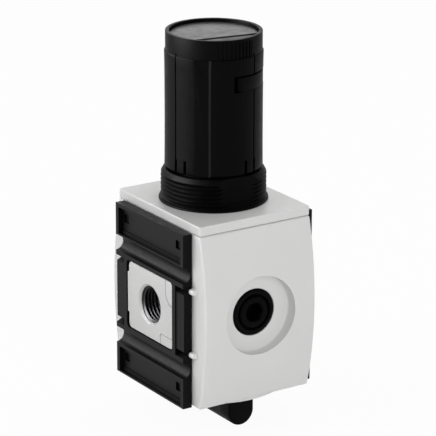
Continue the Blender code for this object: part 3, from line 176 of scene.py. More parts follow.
# Gauge ports and their plugs
POCKET_RADIUS = 13.9 * MM
POCKET_FLOOR = 25.0 * MM
POCKET_OUT = 31 * MM
GAUGE_BORE = 6.9 * MM
GAUGE_BORE_FLOOR = 16.4 * MM
GAUGE_TAP = 1.2 * MM                # small passage to the valve's inside
GAUGE_TAP_IN = 9.1 * MM
PLUG_RECESS = 8.35 * MM
PLUG_RECESS_FLOOR = 23.8 * MM
PLUG_FACE = 25.3 * MM
PLUG_RADIUS = 8.2 * MM
PLUG_SHANK = 6.6 * MM
PLUG_NECK = 5.3 * MM
PLUG_TIP = 17.0 * MM
PLUG_NECK_IN = 20.8 * MM
PLUG_NECK_OUT = 22.8 * MM
PLUG_SHOULDER = 24.1 * MM
PLUG_CROWN = 7.55 * MM              # outer ring of the face, then a groove, then the raised middle
PLUG_GROOVE = (6.4 * MM, 6.3 * MM, 5.75 * MM, 5.7 * MM)
PLUG_GROOVE_DEPTH = 1.6 * MM
PLUG_KEY = 6 * MM                   # across flats
PLUG_KEY_DEPTH = 5 * MM

# Closing plug
CLOSING_RADIUS = 18.7 * MM
CLOSING_GROOVE = 17.1 * MM
CLOSING_GROOVE_LOW = 4.4 * MM
CLOSING_GROOVE_TOP = 6.7 * MM
CLOSING_FACE = -0.8 * MM
CLOSING_TOP = 8 * MM
HUB_RADIUS = 8 * MM
HUB_TOP = 13.5 * MM
GUIDE_RADIUS = 4 * MM
GUIDE_FLOOR = 4 * MM
GUIDE_GROOVE = 5.8 * MM
GUIDE_GROOVE_LOW = 10 * MM
GUIDE_GROOVE_TOP = 12 * MM
GRIP_HALF = 5.1 * MM
GRIP_DROP = 8 * MM                  # down to the middle of its round end
GRIP_REACH = 17.8 * MM
GRIP_STEPS = 24
HOLLOW_REACH = 12.5 * MM            # finger hollows in the bar's sides
HOLLOW_IN = 4.6 * MM
HOLLOW_OUT = 6.5 * MM
HOLLOW_LOW = -14 * MM

# Bonnet
BONNET_LOW = 53.3 * MM
BONNET_BORE = 11.4 * MM
BONNET_RADIUS = 17.4 * MM
FLANGE_RADIUS = 18.7 * MM
FLANGE_LOW = 64.72 * MM
FLANGE_TOP = 65.6 * MM
COLLAR_TOP = 75.9 * MM
COLLAR_CREST = 18.0 * MM
COLLAR_ROOT = 16.95 * MM
COLLAR_CORE = 16.9 * MM
COLLAR_PITCH = 1.5 * MM
COLLAR_THREAD_TOP = 73.8 * MM
COLLAR_RING = 17.9 * MM             # plain ring above the thread
COLLAR_BORE = 15.6 * MM
COLLAR_FLOOR = 72 * MM
COLLAR_FLAT = 16.2 * MM
COLLAR_TURN = -3                    # degrees, of the two flats
TOWER_RADIUS = 13.6 * MM
TOWER_TOP = 107.0 * MM
TOWER_CEILING = 104 * MM
SPINDLE_HOLE = 4.31 * MM
KEYWAY_HALF = 2.2 * MM
KEYWAY_REACH = 12.7 * MM
KEYWAY_TOP = 97 * MM

# Knob
KNOB_LOW = 76.4 * MM
KNOB_LEDGE = 116.75 * MM
KNOB_TOP = 123.4 * MM
KNOB_FLOOR = 121.3 * MM
KNOB_CEILING = 118.7 * MM
COUNTERBORE = 115.8 * MM
SCREW_SEAT = 119.6 * MM
KNOB_GRIP = 16.72 * MM
KNOB_PINCH = 0.14 * MM
KNOB_STEPS = 12
KNOB_BAND = 16.36 * MM
KNOB_BORE = 14.3 * MM
KNOB_RIM = 15.06 * MM
KNOB_OUT = KNOB_GRIP + PAST
KNOB_HUB = 6.5 * MM
KNOB_HUB_LOW = 109.1 * MM
HEAD_BORE = 3.6 * MM
SCREW_BORE = 1.8 * MM
SQUARE_DRIVE = 3.1 * MM             # half of the spindle's square
SQUARE_DRIVE_LOW = 108 * MM
SQUARE_DRIVE_TOP = 114.9 * MM
FLUTES = ((-57, -36), (123, 144))   # degrees
FLUTE_DEPTH = 0.75 * MM
FLUTE_LEAN = 3.2                    # degrees from a flute's deepest line to its steep side
SEAMS = (-83, 21, 97, 201)
SEAM_WIDTH = 0.6 * MM
SEAM_DEPTH = 0.7 * MM
SLITS = (-75.5, 14.5, 104.5, 194.5)  # pairs of slits in the foot
SLIT_SPREAD = 7
SLIT_WIDTH = 1.1 * MM
SLIT_DEPTH = 2 * MM
SLIT_RISE = 5 * MM
RIB_FIELD = (-27.5, 17.5)
RIB_STAND = 0.3 * MM
RIB_COUNT = 9
RIB_FIRST = -25
RIB_STEP = 5
RIB_WIDTH = 0.6 * MM

# Padlock slide and the slot that it fills
SLOT_SPAN = (-8.8, 85)
SLOT_LOW = 105.3 * MM
SLOT_TOP = 110.9 * MM
SLIDE_IN = 14.72 * MM
SLIDE_INNER_END = -4.3
SLIDE_OUTER_END = -4.8
SLIDE_FIRST = 1.6
SLIDE_STEPS = 40                    # of 2 degrees
SLIDE_NOSE = 1.75 * MM
SLIDE_LOW = 105.36 * MM
SLIDE_TOP = 110.2 * MM

# Disc and screw in the knob's top
DISC_RADIUS = 14.76 * MM
DISC_LOW = 121.4 * MM
DISC_TOP = 122.35 * MM
DISC_END = 6.5 * MM                 # the large part stops here, and the small one starts at
SEGMENT_START = 8.5 * MM
DISC_TURN = -9
DISC_SPAN = 20 * MM
SCREW_RADIUS = 1.5 * MM
SCREW_TIP = 108.2 * MM
SCREW_HEAD = 3.3 * MM
SCREW_HEAD_HEIGHT = 1.5 * MM
SCREW_KEY = 2.5 * MM


def around(radius, degrees):
    """A point at that angle from the front."""
    return radius * sin(radians(degrees)), -radius * cos(radians(degrees))


def span(side, near, far):
    """Two places on one side of the middle, the lower one first."""
    return sorted((side * near, side * far))


def soften(points, closed=False, steps=4):
    """Rounds each (a, b, fillet) corner of an outline with a short arc; an (a, b) corner stays sharp."""
    outline = []
    for place, point in enumerate(points):
        corner = Vector(point[:2])
        inside = closed or 0 < place < len(points) - 1
        if len(point) < 3 or not inside:
            outline.append(tuple(corner))
            continue
        before = (Vector(points[place - 1][:2]) - corner).normalized()
        after = (Vector(points[(place + 1) % len(points)][:2]) - corner).normalized()
        half = before.angle(after) / 2
        middle = corner + (before + after).normalized() * point[2] / sin(half)
        start = corner + before * point[2] / tan(half) - middle
        end = corner + after * point[2] / tan(half) - middle
        for step in range(steps + 1):
            outline.append(tuple(middle + start.lerp(end, step / steps).normalized() * point[2]))
    return outline


def tidy(bm, reach=WELD):
    """Welds the points that meet, and turns all faces outwards."""
    bmesh.ops.remove_doubles(bm, verts=bm.verts, dist=reach)
    bmesh.ops.recalc_face_normals(bm, faces=bm.faces)
    return bm


def round_edges(bm, edges, width, segments):
    bmesh.ops.bevel(bm, geom=edges, offset=width, segments=segments, profile=0.5, affect="EDGES",
                    clamp_overlap=True, material=-1)


def turn_round(bm, degrees):
    """Turns a mesh round the valve's axis."""
    bmesh.ops.rotate(bm, cent=(0, 0, 0), matrix=Matrix.Rotation(radians(degrees), 3, "Z"), verts=bm.verts)
    return bm


def aim(bm, along, centre=(0, 0, 0)):
    """Turns a mesh made round Z so that it runs along X, Y or Z from a centre."""
    turns = {"X": Matrix.Rotation(pi / 2, 4, "Y"), "Y": Matrix.Rotation(-pi / 2, 4, "X"), "Z": Matrix()}
    bmesh.ops.transform(bm, matrix=Matrix.Translation(centre) @ turns[along], verts=bm.verts)
    return bm


def turned(profile, sides=MEDIUM, along="Z", centre=(0, 0, 0), flip=1):
    """Spins a half section of (radius, height, fillet) points; flip=-1 mirrors it along its axis."""
    outline = [(radius, flip * height) for radius, height in soften(profile)]
    bm = bmesh.new()
    line = [bm.verts.new((radius, 0, height)) for radius, height in outline]
    edges = [bm.edges.new(pair) for pair in zip(line, line[1:])]
    if outline[0][0] > 0 or outline[-1][0] > 0:
        edges.append(bm.edges.new((line[-1], line[0])))
    bmesh.ops.spin(bm, geom=line + edges, cent=(0, 0, 0), axis=(0, 0, 1), angle=2 * pi, steps=sides,
                   use_merge=True)
    return aim(tidy(bm), along, centre)


def slab(outline, low, high, along="Z", edge=0, segments=3):
    """Pushes a flat outline from low to high, and rounds the rims of both ends."""
    place = {"X": lambda a, b, h: (h, a, b),
             "Y": lambda a, b, h: (a, h, b),
             "Z": lambda a, b, h: (a, b, h)}[along]
    bm = bmesh.new()
    face = bm.faces.new([bm.verts.new(place(a, b, low)) for a, b in outline])
    pushed = bmesh.ops.extrude_face_region(bm, geom=[face])["geom"]
    bmesh.ops.translate(bm, vec=place(0, 0, high - low),
                        verts=[item for item in pushed if isinstance(item, bmesh.types.BMVert)])
    tidy(bm)
    if edge:
        axis = "XYZ".index(along)
        rims = [item for item in bm.edges
                if abs(item.verts[0].co[axis] - item.verts[1].co[axis]) < abs(high - low) / 2]
        round_edges(bm, rims, edge, segments)
    return bm


def rounded(half_a, half_b, corner, middle=(0, 0), steps=6):
    """Outline of a rectangle with round corners."""
    a, b = middle
    return soften([(a + half_a, b + half_b, corner), (a - half_a, b + half_b, corner),
                   (a - half_a, b - half_b, corner), (a + half_a, b - half_b, corner)], True, steps)


def block(xs, ys, zs, edge=0, segments=3):
    """A box between pairs of planes, with all its edges rounded."""
    size = [abs(pair[1] - pair[0]) for pair in (xs, ys, zs)]
    centre = [(pair[0] + pair[1]) / 2 for pair in (xs, ys, zs)]
    bm = bmesh.new()
    bmesh.ops.create_cube(bm, size=1, matrix=Matrix.Translation(centre) @ Matrix.Diagonal((*size, 1)))
    if edge:
        round_edges(bm, bm.edges[:], edge, segments)
    return bm


def hexagon(across_flats, middle=(0, 0)):
    """Outline of a hexagon with a corner on its first axis."""
    return [(middle[0] + across_flats / sqrt(3) * cos(radians(60 * corner)),
             middle[1] + across_flats / sqrt(3) * sin(radians(60 * corner))) for corner in range(6)]


def sector(inner, outer, start, stop, low, high, steps=40):
    """A curved wall between two angles from the front."""
    turns = [start + (stop - start) * step / steps for step in range(steps + 1)]
    outline = [around(outer, turn) for turn in turns] + [around(inner, turn) for turn in reversed(turns)]
    return slab(outline, low, high)


def spoke(inner, outer, width, low, high, degrees, edge=0):
    """A straight bar that points outwards at an angle from the front."""
    return turn_round(block((-width / 2, width / 2), (-outer, -inner), (low, high), edge), degrees)


def threaded(root, crest, pitch, low, high, sides=MEDIUM, along="Z", centre=(0, 0, 0)):
    """A screw thread with a solid core: one ridge wound round the axis, then cut off square at both ends."""
    flank = (crest - root) * tan(radians(THREAD_FLANK))
    flat = pitch / 8
    valley = (pitch - 2 * flank - flat) / 2
    ridge = soften([(root, 0), (root, valley, 0.1 * pitch), (crest, valley + flank, 0.06 * pitch),
                    (crest, valley + flank + flat, 0.06 * pitch), (root, pitch - valley, 0.1 * pitch),
                    (root, pitch)], steps=2)
    turns = ceil((high - low) / pitch) + 2
    bm = bmesh.new()
    line = [bm.verts.new((radius, 0, low - pitch + height)) for radius, height in ridge]
    edges = [bm.edges.new(pair) for pair in zip(line, line[1:])]
    bmesh.ops.spin(bm, geom=line + edges, cent=(0, 0, 0), axis=(0, 0, 1), dvec=(0, 0, pitch / sides),
                   angle=2 * pi * turns, steps=sides * turns)
    tidy(bm, THREAD_WELD)
    for height, outwards in ((low, -1), (high, 1)):
        bmesh.ops.bisect_plane(bm, geom=bm.verts[:] + bm.edges[:] + bm.faces[:], plane_co=(0, 0, height),
                               plane_no=(0, 0, outwards), clear_outer=True)
    bmesh.ops.holes_fill(bm, edges=[edge for edge in bm.edges if edge.is_boundary])
    return aim(tidy(bm), along, centre)


def carve(body, tool, operation="DIFFERENCE"):
    """Cuts or joins two closed meshes. Both are used up, and the result is a new one."""
    holders = []
    for source in (body, tool):
        mesh = bpy.data.meshes.new("carving")
        source.to_mesh(mesh)
        source.free()
        holders.append(bpy.data.objects.new("carving", mesh))
        bpy.context.scene.collection.objects.link(holders[-1])
    cut = holders[0].modifiers.new("cut", "BOOLEAN")
    cut.operation = operation
    cut.object = holders[1]
    cut.solver = "EXACT"
    evaluated = holders[0].evaluated_get(bpy.context.evaluated_depsgraph_get())
    result = bmesh.new()
    result.from_mesh(evaluated.to_mesh())
    evaluated.to_mesh_clear()
    for holder in holders:
        mesh = holder.data
        bpy.data.objects.remove(holder)
        bpy.data.meshes.remove(mesh)
    bmesh.ops.remove_doubles(result, verts=result.verts, dist=CARVE_WELD)
    return result


def dress(name, bm, finish, body, nodes, edge=0, segments=3, crease=32):
    """Makes a finished mesh one piece that rides on a body and stands for CAD nodes."""
    bmesh.ops.translate(bm, vec=(0, 0, DATUM), verts=bm.verts)
    mesh = bpy.data.meshes.new(name)
    bm.to_mesh(mesh)
    bm.free()
    mesh.shade_smooth()
    mesh.set_sharp_from_angle(angle=radians(crease))
    mesh.materials.append(finish)
    piece = bpy.data.objects.new(name, mesh)
    bpy.context.scene.collection.objects.link(piece)
    if edge:
        rounding = piece.modifiers.new("edges", "BEVEL")
        rounding.width = edge
        rounding.segments = segments
        rounding.limit_method = "ANGLE"
        rounding.angle_limit = radians(crease)
        rounding.harden_normals = True
    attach(piece, body)
    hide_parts(*nodes)


# Finishes


def new_finish(name, roughness, metallic=0.0):
    """A finish and its shader, with functions that add noise, ranges and relief in object coordinates."""
    material = bpy.data.materials.new(name)
    material.use_nodes = True
    tree = material.node_tree
    shader = tree.nodes["Principled BSDF"]
    shader.inputs["Roughness"].default_value = roughness
    shader.inputs["Metallic"].default_value = metallic
    place = tree.nodes.new("ShaderNodeTexCoord")

    def noise(size, detail=3.0, roughness=0.5, stretch=None):
        texture = tree.nodes.new("ShaderNodeTexNoise")
        texture.inputs["Scale"].default_value = 1 / size
        texture.inputs["Detail"].default_value = detail
        texture.inputs["Roughness"].default_value = roughness
        source = place.outputs["Object"]
        if stretch:
            mapping = tree.nodes.new("ShaderNodeMapping")
            mapping.inputs["Scale"].default_value = stretch
            tree.links.new(source, mapping.inputs["Vector"])
            source = mapping.outputs["Vector"]
        tree.links.new(source, texture.inputs["Vector"])
        return texture.outputs["Fac"]

    def spread(value, low, high, target, start=0.3, stop=0.7):
        """Sends a noise to a socket as a range between two numbers or two colours."""
        if isinstance(low, tuple):
            ramp = tree.nodes.new("ShaderNodeValToRGB")
            ramp.color_ramp.elements[0].position = start
            ramp.color_ramp.elements[1].position = stop
            ramp.color_ramp.elements[0].color = (*low, 1)
            ramp.color_ramp.elements[1].color = (*high, 1)
            tree.links.new(value, ramp.inputs["Fac"])
            tree.links.new(ramp.outputs["Color"], target)
            return
        limits = tree.nodes.new("ShaderNodeMapRange")
        for socket, number in zip(("From Min", "From Max", "To Min", "To Max"), (start, stop, low, high)):
            limits.inputs[socket].default_value = number
        tree.links.new(value, limits.inputs["Value"])
        tree.links.new(limits.outputs["Result"], target)

    def bump(value, depth, strength=1.0, under=None):
        relief = tree.nodes.new("ShaderNodeBump")
        relief.inputs["Distance"].default_value = depth
        relief.inputs["Strength"].default_value = strength
        tree.links.new(value, relief.inputs["Height"])
        if under:
            tree.links.new(under, relief.inputs["Normal"])
        return relief.outputs["Normal"]

    return material, tree, shader, noise, spread, bump


def shade(colour, factor):
    return tuple(channel * factor for channel in colour)


def moulded(name, colour, roughness, grain, depth, gloss, uneven, mottle):
    """Moulded plastic: spark-eroded grain, a slow change of gloss and a faint change of tone."""
    material, tree, shader, noise, spread, bump = new_finish(name, roughness)
    spread(noise(18 * MM, 2.0), shade(colour, 1 - mottle), shade(colour, 1 + mottle),
           shader.inputs["Base Color"])
    spread(noise(3 * MM, 4.0), roughness - uneven, roughness + uneven, shader.inputs["Roughness"])
    shader.inputs["Specular IOR Level"].default_value = gloss
    waves = bump(noise(4 * MM, 2.0), 0.02 * MM, 0.5)
    fine = bump(noise(grain, 2.0, 0.6), depth, 0.7, waves)
    tree.links.new(fine, shader.inputs["Normal"])
    return material


def cast_coated(name, colour, roughness):
    """Die casting under a coat of paint: soft orange peel and rare darker specks."""
    material, tree, shader, noise, spread, bump = new_finish(name, roughness)
    spread(noise(0.5 * MM, 4.0, 0.7), shade(colour, 0.9), colour, shader.inputs["Base Color"], 0.3, 0.45)
    spread(noise(2 * MM, 3.0), roughness - 0.06, roughness + 0.06, shader.inputs["Roughness"])
    peel = bump(noise(1.1 * MM, 2.0), 0.035 * MM, 0.6)
    tree.links.new(bump(noise(0.25 * MM, 2.0), 0.008 * MM, 0.5, peel), shader.inputs["Normal"])
    shader.inputs["Coat Weight"].default_value = 0.05
    shader.inputs["Coat Roughness"].default_value = 0.3
    return material


def turned_metal(name, colour, roughness, stretch=(0.02, 0.02, 1.0)):
    """Machined metal: fine tool lines round the axis over a cloudy tone."""
    material, tree, shader, noise, spread, bump = new_finish(name, roughness, 1.0)
    spread(noise(2.5 * MM, 3.0), shade(colour, 0.9), colour, shader.inputs["Base Color"])
    lines = noise(0.12 * MM, 2.0, 0.6, stretch)
    spread(lines, roughness - 0.08, roughness + 0.1, shader.inputs["Roughness"])
    tree.links.new(bump(lines, 0.01 * MM, 0.5), shader.inputs["Normal"])
    return material


def nitrile(name):
    """Black rubber with a faint dusty bloom."""
    material, tree, shader, noise, spread, bump = new_finish(name, 0.6)
    spread(noise(1.5 * MM, 4.0), (0.012, 0.012, 0.012), (0.024, 0.024, 0.024), shader.inputs["Base Color"])
    spread(noise(0.8 * MM, 3.0), 0.5, 0.72, shader.inputs["Roughness"])
    tree.links.new(bump(noise(0.15 * MM, 2.0), 0.01 * MM, 0.5), shader.inputs["Normal"])
    return material


shell = moulded("light_grey_moulding", (0.64, 0.64, 0.635), 0.45, grain=0.22 * MM, depth=0.012 * MM,
                gloss=0.4, uneven=0.05, mottle=0.012)
casting = cast_coated("coated_casting", (0.52, 0.52, 0.515), 0.48)
black = moulded("black_moulding", (0.0026, 0.0026, 0.0027), 0.4, grain=0.3 * MM, depth=0.016 * MM,
                gloss=0.08, uneven=0.06, mottle=0.15)
black_fine = moulded("black_knob_moulding", (0.001, 0.001, 0.0011), 0.44, grain=0.25 * MM, depth=0.01 * MM,
                     gloss=0.04, uneven=0.05, mottle=0.15)
# Painted light: the disc and the segment in the knob's top are the knob's black moulding, painted lighter to
# stand for the light that falls on the top, the segment less so; the grain is real
disc_painted_top_light = moulded("grained_disc_painted_top_light", (0.038, 0.038, 0.039), 0.42, grain=0.45 * MM, depth=0.05 * MM,
                     gloss=0.25, uneven=0.06, mottle=0.1)
segment_painted_top_light = moulded("grained_segment_painted_top_light", (0.016, 0.016, 0.017), 0.42, grain=0.45 * MM, depth=0.05 * MM,
                        gloss=0.1, uneven=0.06, mottle=0.1)
rubber = nitrile("nitrile_rubber")
brass = turned_metal("turned_brass", (0.76, 0.56, 0.27), 0.3)
steel = turned_metal("turned_steel", (0.58, 0.58, 0.59), 0.28)
alloy = turned_metal("turned_aluminium", (0.74, 0.74, 0.75), 0.34)
# Painted shade: the thread's metal is near black to stand for the shade deep inside the port's bore
thread_painted_shade = turned_metal("thread_painted_bore_shade", (0.035, 0.035, 0.037), 0.36, (1.0, 0.02, 0.02))


# Housing


def bulged(steps=48):
    """Side view of the housing: straight top and bottom, and a wide arc at the front and the back."""
    radius = (PORT_Z ** 2 + BULGE ** 2) / (2 * BULGE)
    points = []
    for side in (1, -1):
        heights = [HOUSING_TOP * step / steps for step in range(steps + 1)]
        for height in heights if side == 1 else reversed(heights):
            reach = HALF_DEPTH + BULGE - radius + sqrt(radius ** 2 - (height - PORT_Z) ** 2)
            corner = () if 0 < height < HOUSING_TOP else (0.8 * MM,)
            points.append((side * reach, height, *corner))
    return soften(points, True)


def notch_noses():
    """Small noses at the four corners, two to each, that show in the notches of the side plates."""
    for side in (-1, 1):
        for end in (-1, 1):
            for height in (CLAMP_Z - NOTCH_OFFSET, CLAMP_Z + NOTCH_OFFSET):
                wedge = soften([(NOSE_ROOT, height - NOSE_ROOT_HALF),
                                (NOSE_TIP, height - NOSE_TIP_HALF, 0.5 * MM),
                                (NOSE_TIP, height + NOSE_TIP_HALF, 0.5 * MM),
                                (NOSE_ROOT, height + NOSE_ROOT_HALF)])
                yield slab([(side * x, z) for x, z in wedge], *span(end, NOSE_IN, NOSE_OUT), "Y", 0.3 * MM, 2)


def make_housing():
    body = slab(bulged(), -HALF_WIDTH, HALF_WIDTH, "X", 0.9 * MM, 4)
    boss = [(max(-BOSS_HALF, min(BOSS_HALF, BOSS_RADIUS * cos(2 * pi * step / MEDIUM))),
             BOSS_RADIUS * sin(2 * pi * step / MEDIUM)) for step in range(MEDIUM)]
    body = carve(body, slab(boss, -BOSS_DROP, 2 * MM), "UNION")
    for nose in notch_noses():
        body = carve(body, nose, "UNION")
    below, above = -3 * MM, 63 * MM
    core = [(0, below), (PLUG_BORE, below), (PLUG_BORE, PLUG_BORE_TOP), (CHAMBER_RADIUS, PLUG_BORE_TOP),
            (CHAMBER_RADIUS, CHAMBER_TOP), (SEAT_BORE, CHAMBER_TOP), (SEAT_BORE, SEAT_BORE_TOP),
            (SEAT_HOLE, SEAT_BORE_TOP), (SEAT_HOLE, SEAT_HOLE_TOP), (OUTLET_RADIUS, SEAT_HOLE_TOP),
            (OUTLET_RADIUS, OUTLET_TOP), (STEM_BORE, OUTLET_TOP), (STEM_BORE, CYLINDER_LOW),
            (CYLINDER_RADIUS, CYLINDER_LOW), (CYLINDER_RADIUS, CYLINDER_TOP), (BORE, CYLINDER_TOP),
            (BORE, above), (0, above)]
    body = carve(body, turned(core))
    socket = [(0, SOCKET_FLOOR), (SOCKET_RADIUS, SOCKET_FLOOR), (SOCKET_RADIUS, SOCKET_OUT), (0, SOCKET_OUT)]
    for side in (-1, 1):
        body = carve(body, turned(socket, FINE, "X", (0, 0, PORT_Z), side))
    passage = (-PASSAGE_HALF, PASSAGE_HALF)
    body = carve(body, block((-PASSAGE_END, -INLET_IN), passage, (INLET_LOW, PASSAGE_TOP)))
    body = carve(body, block((OUTLET_IN, PASSAGE_END), passage, (SEAT_HOLE_TOP, PASSAGE_TOP)))
    gauge_port = [(0, GAUGE_TAP_IN), (GAUGE_TAP, GAUGE_TAP_IN), (GAUGE_TAP, GAUGE_BORE_FLOOR),
                  (GAUGE_BORE, GAUGE_BORE_FLOOR), (GAUGE_BORE, PLUG_RECESS_FLOOR),
                  (PLUG_RECESS, PLUG_RECESS_FLOOR), (PLUG_RECESS, POCKET_FLOOR, 0.1 * MM),
                  (POCKET_RADIUS, POCKET_FLOOR, 0.7 * MM), (POCKET_RADIUS, POCKET_OUT), (0, POCKET_OUT)]
    for end in (-1, 1):
        body = carve(body, turned(gauge_port, SMOOTH, "Y", (0, 0, PORT_Z), end))
    nozzle = [(0, NOZZLE_LOW), (NOZZLE_BORE, NOZZLE_LOW), (NOZZLE_BORE, NOZZLE_TOP),
              (BYPASS_RADIUS, NOZZLE_TOP), (BYPASS_RADIUS, BYPASS_TOP), (0, BYPASS_TOP)]
    body = carve(body, turned(nozzle, COARSE, "Z", (*around(*NOZZLE_PLACE), 0)))
    dress("valve_housing", body, shell, "root", ["housing"], 0.3 * MM, 3)


def make_cover():
    cover = slab(rounded(HALF_WIDTH, HALF_DEPTH, 1.1 * MM), COVER_LOW, COVER_TOP)
    below, above = 60 * MM, 66 * MM
    cover = carve(cover, turned([(0, below), (BORE, below), (BORE, above), (0, above)], SMOOTH))
    dress("housing_cover", cover, shell, "root", ["top_cover"], 0.45 * MM, 4)


# Side plates and port blocks


def plate_section():
    """A clamp plate's section in (x, z): its upper half, then the lower one, with coves and notches."""
    def half(up):
        cove = CLAMP_Z + up * COVE_OFFSET
        notch = CLAMP_Z + up * NOTCH_OFFSET
        edge = HOUSING_TOP + GAP if up > 0 else -GAP
        bite = []
        for step in range(COVE_STEPS + 1):
            turn = up * radians(90 + 180 / COVE_STEPS * step)
            bite.append((PLATE_OUT + COVE_RADIUS * cos(turn), cove + COVE_RADIUS * sin(turn)))
        return [(PLATE_IN, edge), (PLATE_OUT, edge)] + bite + [
            (PLATE_OUT, notch + up * NOTCH_HALF), (PLATE_OUT - NOTCH_DEPTH, notch),
            (PLATE_OUT - WAIST, notch - up * NOTCH_HALF)]
    return half(1) + list(reversed(half(-1)))


def make_plate(name, side):
    plate = slab([(side * x, z) for x, z in plate_section()], -PLATE_HALF, PLATE_HALF, "Y")
    frame_half = BLOCK_HALF + GAP + FRAME_MARGIN
    rise = NOTCH_OFFSET + NOTCH_HALF
    plate = carve(plate, block((side * FRAME_IN, side * PLATE_OUT), (-frame_half, frame_half),
                               (CLAMP_Z - rise, CLAMP_Z + rise)), "UNION")
    window = rounded(BLOCK_HALF + GAP, BLOCK_RISE + GAP, WINDOW_CORNER, (0, PORT_Z))
    plate = carve(plate, slab(window, *span(side, PLATE_IN - GAP, PLATE_OUT + GAP), "X"))
    plate = carve(plate, block((side * (PLATE_IN - GAP), side * EAR_POCKET_FACE),
                               (-EAR_POCKET_HALF, EAR_POCKET_HALF),
                               (PORT_Z - EAR_POCKET_RISE, PORT_Z + EAR_POCKET_RISE)))
    panel_half = PLATE_HALF - PANEL_MARGIN
    floor = PLATE_OUT - PANEL_DEPTH
    outside = side * (PLATE_OUT + GAP)
    cove_edge = COVE_OFFSET + COVE_RADIUS
    for low, high in ((-GAP, CLAMP_Z - cove_edge), (CLAMP_Z + cove_edge, HOUSING_TOP + GAP)):
        foot = low + PANEL_MARGIN
        panel = rounded(panel_half, (high - PANEL_HEAD - foot) / 2, PANEL_CORNER,
                        (0, (foot + high - PANEL_HEAD) / 2))
        plate = carve(plate, slab(panel, *span(side, floor, PLATE_OUT + GAP), "X"))
        plate = carve(plate, block((side * (floor + LEDGE_RISE), outside), (-panel_half, panel_half),
                                   (low + LEDGE_MARGIN, foot + 0.1 * MM)))
        middle = (low + high) / 2 + SQUARE_OFFSET
        for reach in SQUARES:
            plate = carve(plate, block((side * (PLATE_IN + SQUARE_FLOOR), outside),
                                       (reach - SQUARE_HALF, reach + SQUARE_HALF),
                                       (middle - SQUARE_RISE, middle + SQUARE_RISE)))
    dress(name + "_clamp_plate", plate, black, "root", [name + "_side_plate"], 0.28 * MM, 3)


def make_port(name, side):
    """A coated port block, and the bare metal sleeve with the thread inside it as a piece of its own; the
    sleeve's metal is near black to paint the shade deep in the bore.
    """
    axis = (0, 0, PORT_Z)
    inset = BLOCK_HALF - BLOCK_STEP
    outline = [(BLOCK_HALF, SHOULDER_TOP, 0.3 * MM), (inset, SHOULDER_TOP, 0.3 * MM),
               (inset, BLOCK_RISE, 1.6 * MM), (-BLOCK_HALF, BLOCK_RISE, 1.3 * MM),
               (-BLOCK_HALF, -BLOCK_RISE, 1.3 * MM), (inset, -BLOCK_RISE, 1.6 * MM),
               (inset, SHOULDER_LOW, 0.3 * MM), (BLOCK_HALF, SHOULDER_LOW, 0.3 * MM)]
    outline = [(y, PORT_Z + z) for y, z in soften(outline, True)]
    port = slab(outline, *span(side, PLATE_IN, BLOCK_FACE), "X", 0.25 * MM)
    ears = block((side * PLATE_IN, side * EAR_FACE), (-EAR_HALF, EAR_HALF),
                 (PORT_Z - EAR_RISE, PORT_Z + EAR_RISE), 0.3 * MM)
    port = carve(port, ears, "UNION")
    spigot = [(0, SPIGOT_TIP), (SPIGOT_RADIUS, SPIGOT_TIP, 0.3 * MM), (SPIGOT_RADIUS, SPIGOT_TIP + SEAL_LOW),
              (SEAL_GROOVE, SPIGOT_TIP + SEAL_LOW), (SEAL_GROOVE, SPIGOT_TIP + SEAL_HIGH),
              (SPIGOT_RADIUS, SPIGOT_TIP + SEAL_HIGH), (SPIGOT_RADIUS, SPIGOT_END), (0, SPIGOT_END)]
    port = carve(port, turned(spigot, MEDIUM, "X", axis, side), "UNION")
    for line in (TAB_LINE, FOOT_LINE):
        groove = soften([[size * MM for size in corner] for corner in line], True)
        groove = slab([(y, PORT_Z + z) for y, z in groove],
                      *span(side, BLOCK_FACE - MARK_DEPTH, BLOCK_FACE + 0.5 * MM), "X")
        port = carve(port, groove)
    lip = BLOCK_FACE - PORT_LIP
    tip = SPIGOT_TIP - PAST
    bore = [(0, tip), (SLEEVE_RADIUS, tip), (SLEEVE_RADIUS, lip), (PORT_THROAT, lip),
            (PORT_THROAT, BLOCK_FACE - MOUTH_DEPTH, 0.05 * MM), (PORT_MOUTH, BLOCK_FACE, 0.05 * MM),
            (PORT_MOUTH + GAP, BLOCK_FACE + GAP), (0, BLOCK_FACE + GAP)]
    port = carve(port, turned(bore, MEDIUM, "X", axis, side))
    sleeve = turned([(PORT_MINOR, SPIGOT_TIP), (SLEEVE_RADIUS, SPIGOT_TIP), (SLEEVE_RADIUS, lip),
                     (PORT_THROAT, lip), (PORT_MINOR, lip - SLEEVE_CONE)], MEDIUM, "X", axis, side)
    sleeve = carve(sleeve, threaded(PORT_MINOR - 0.05 * MM, PORT_MAJOR, PORT_PITCH,
                                    *span(side, tip, BLOCK_FACE - 0.2 * MM), MEDIUM, "X", axis))
    dress(name + "_port", port, casting, "root", [name + "_port_block"])
    dress(name + "_port_thread", sleeve, thread_painted_shade, "root", [name + "_port_block"])


# Plugs


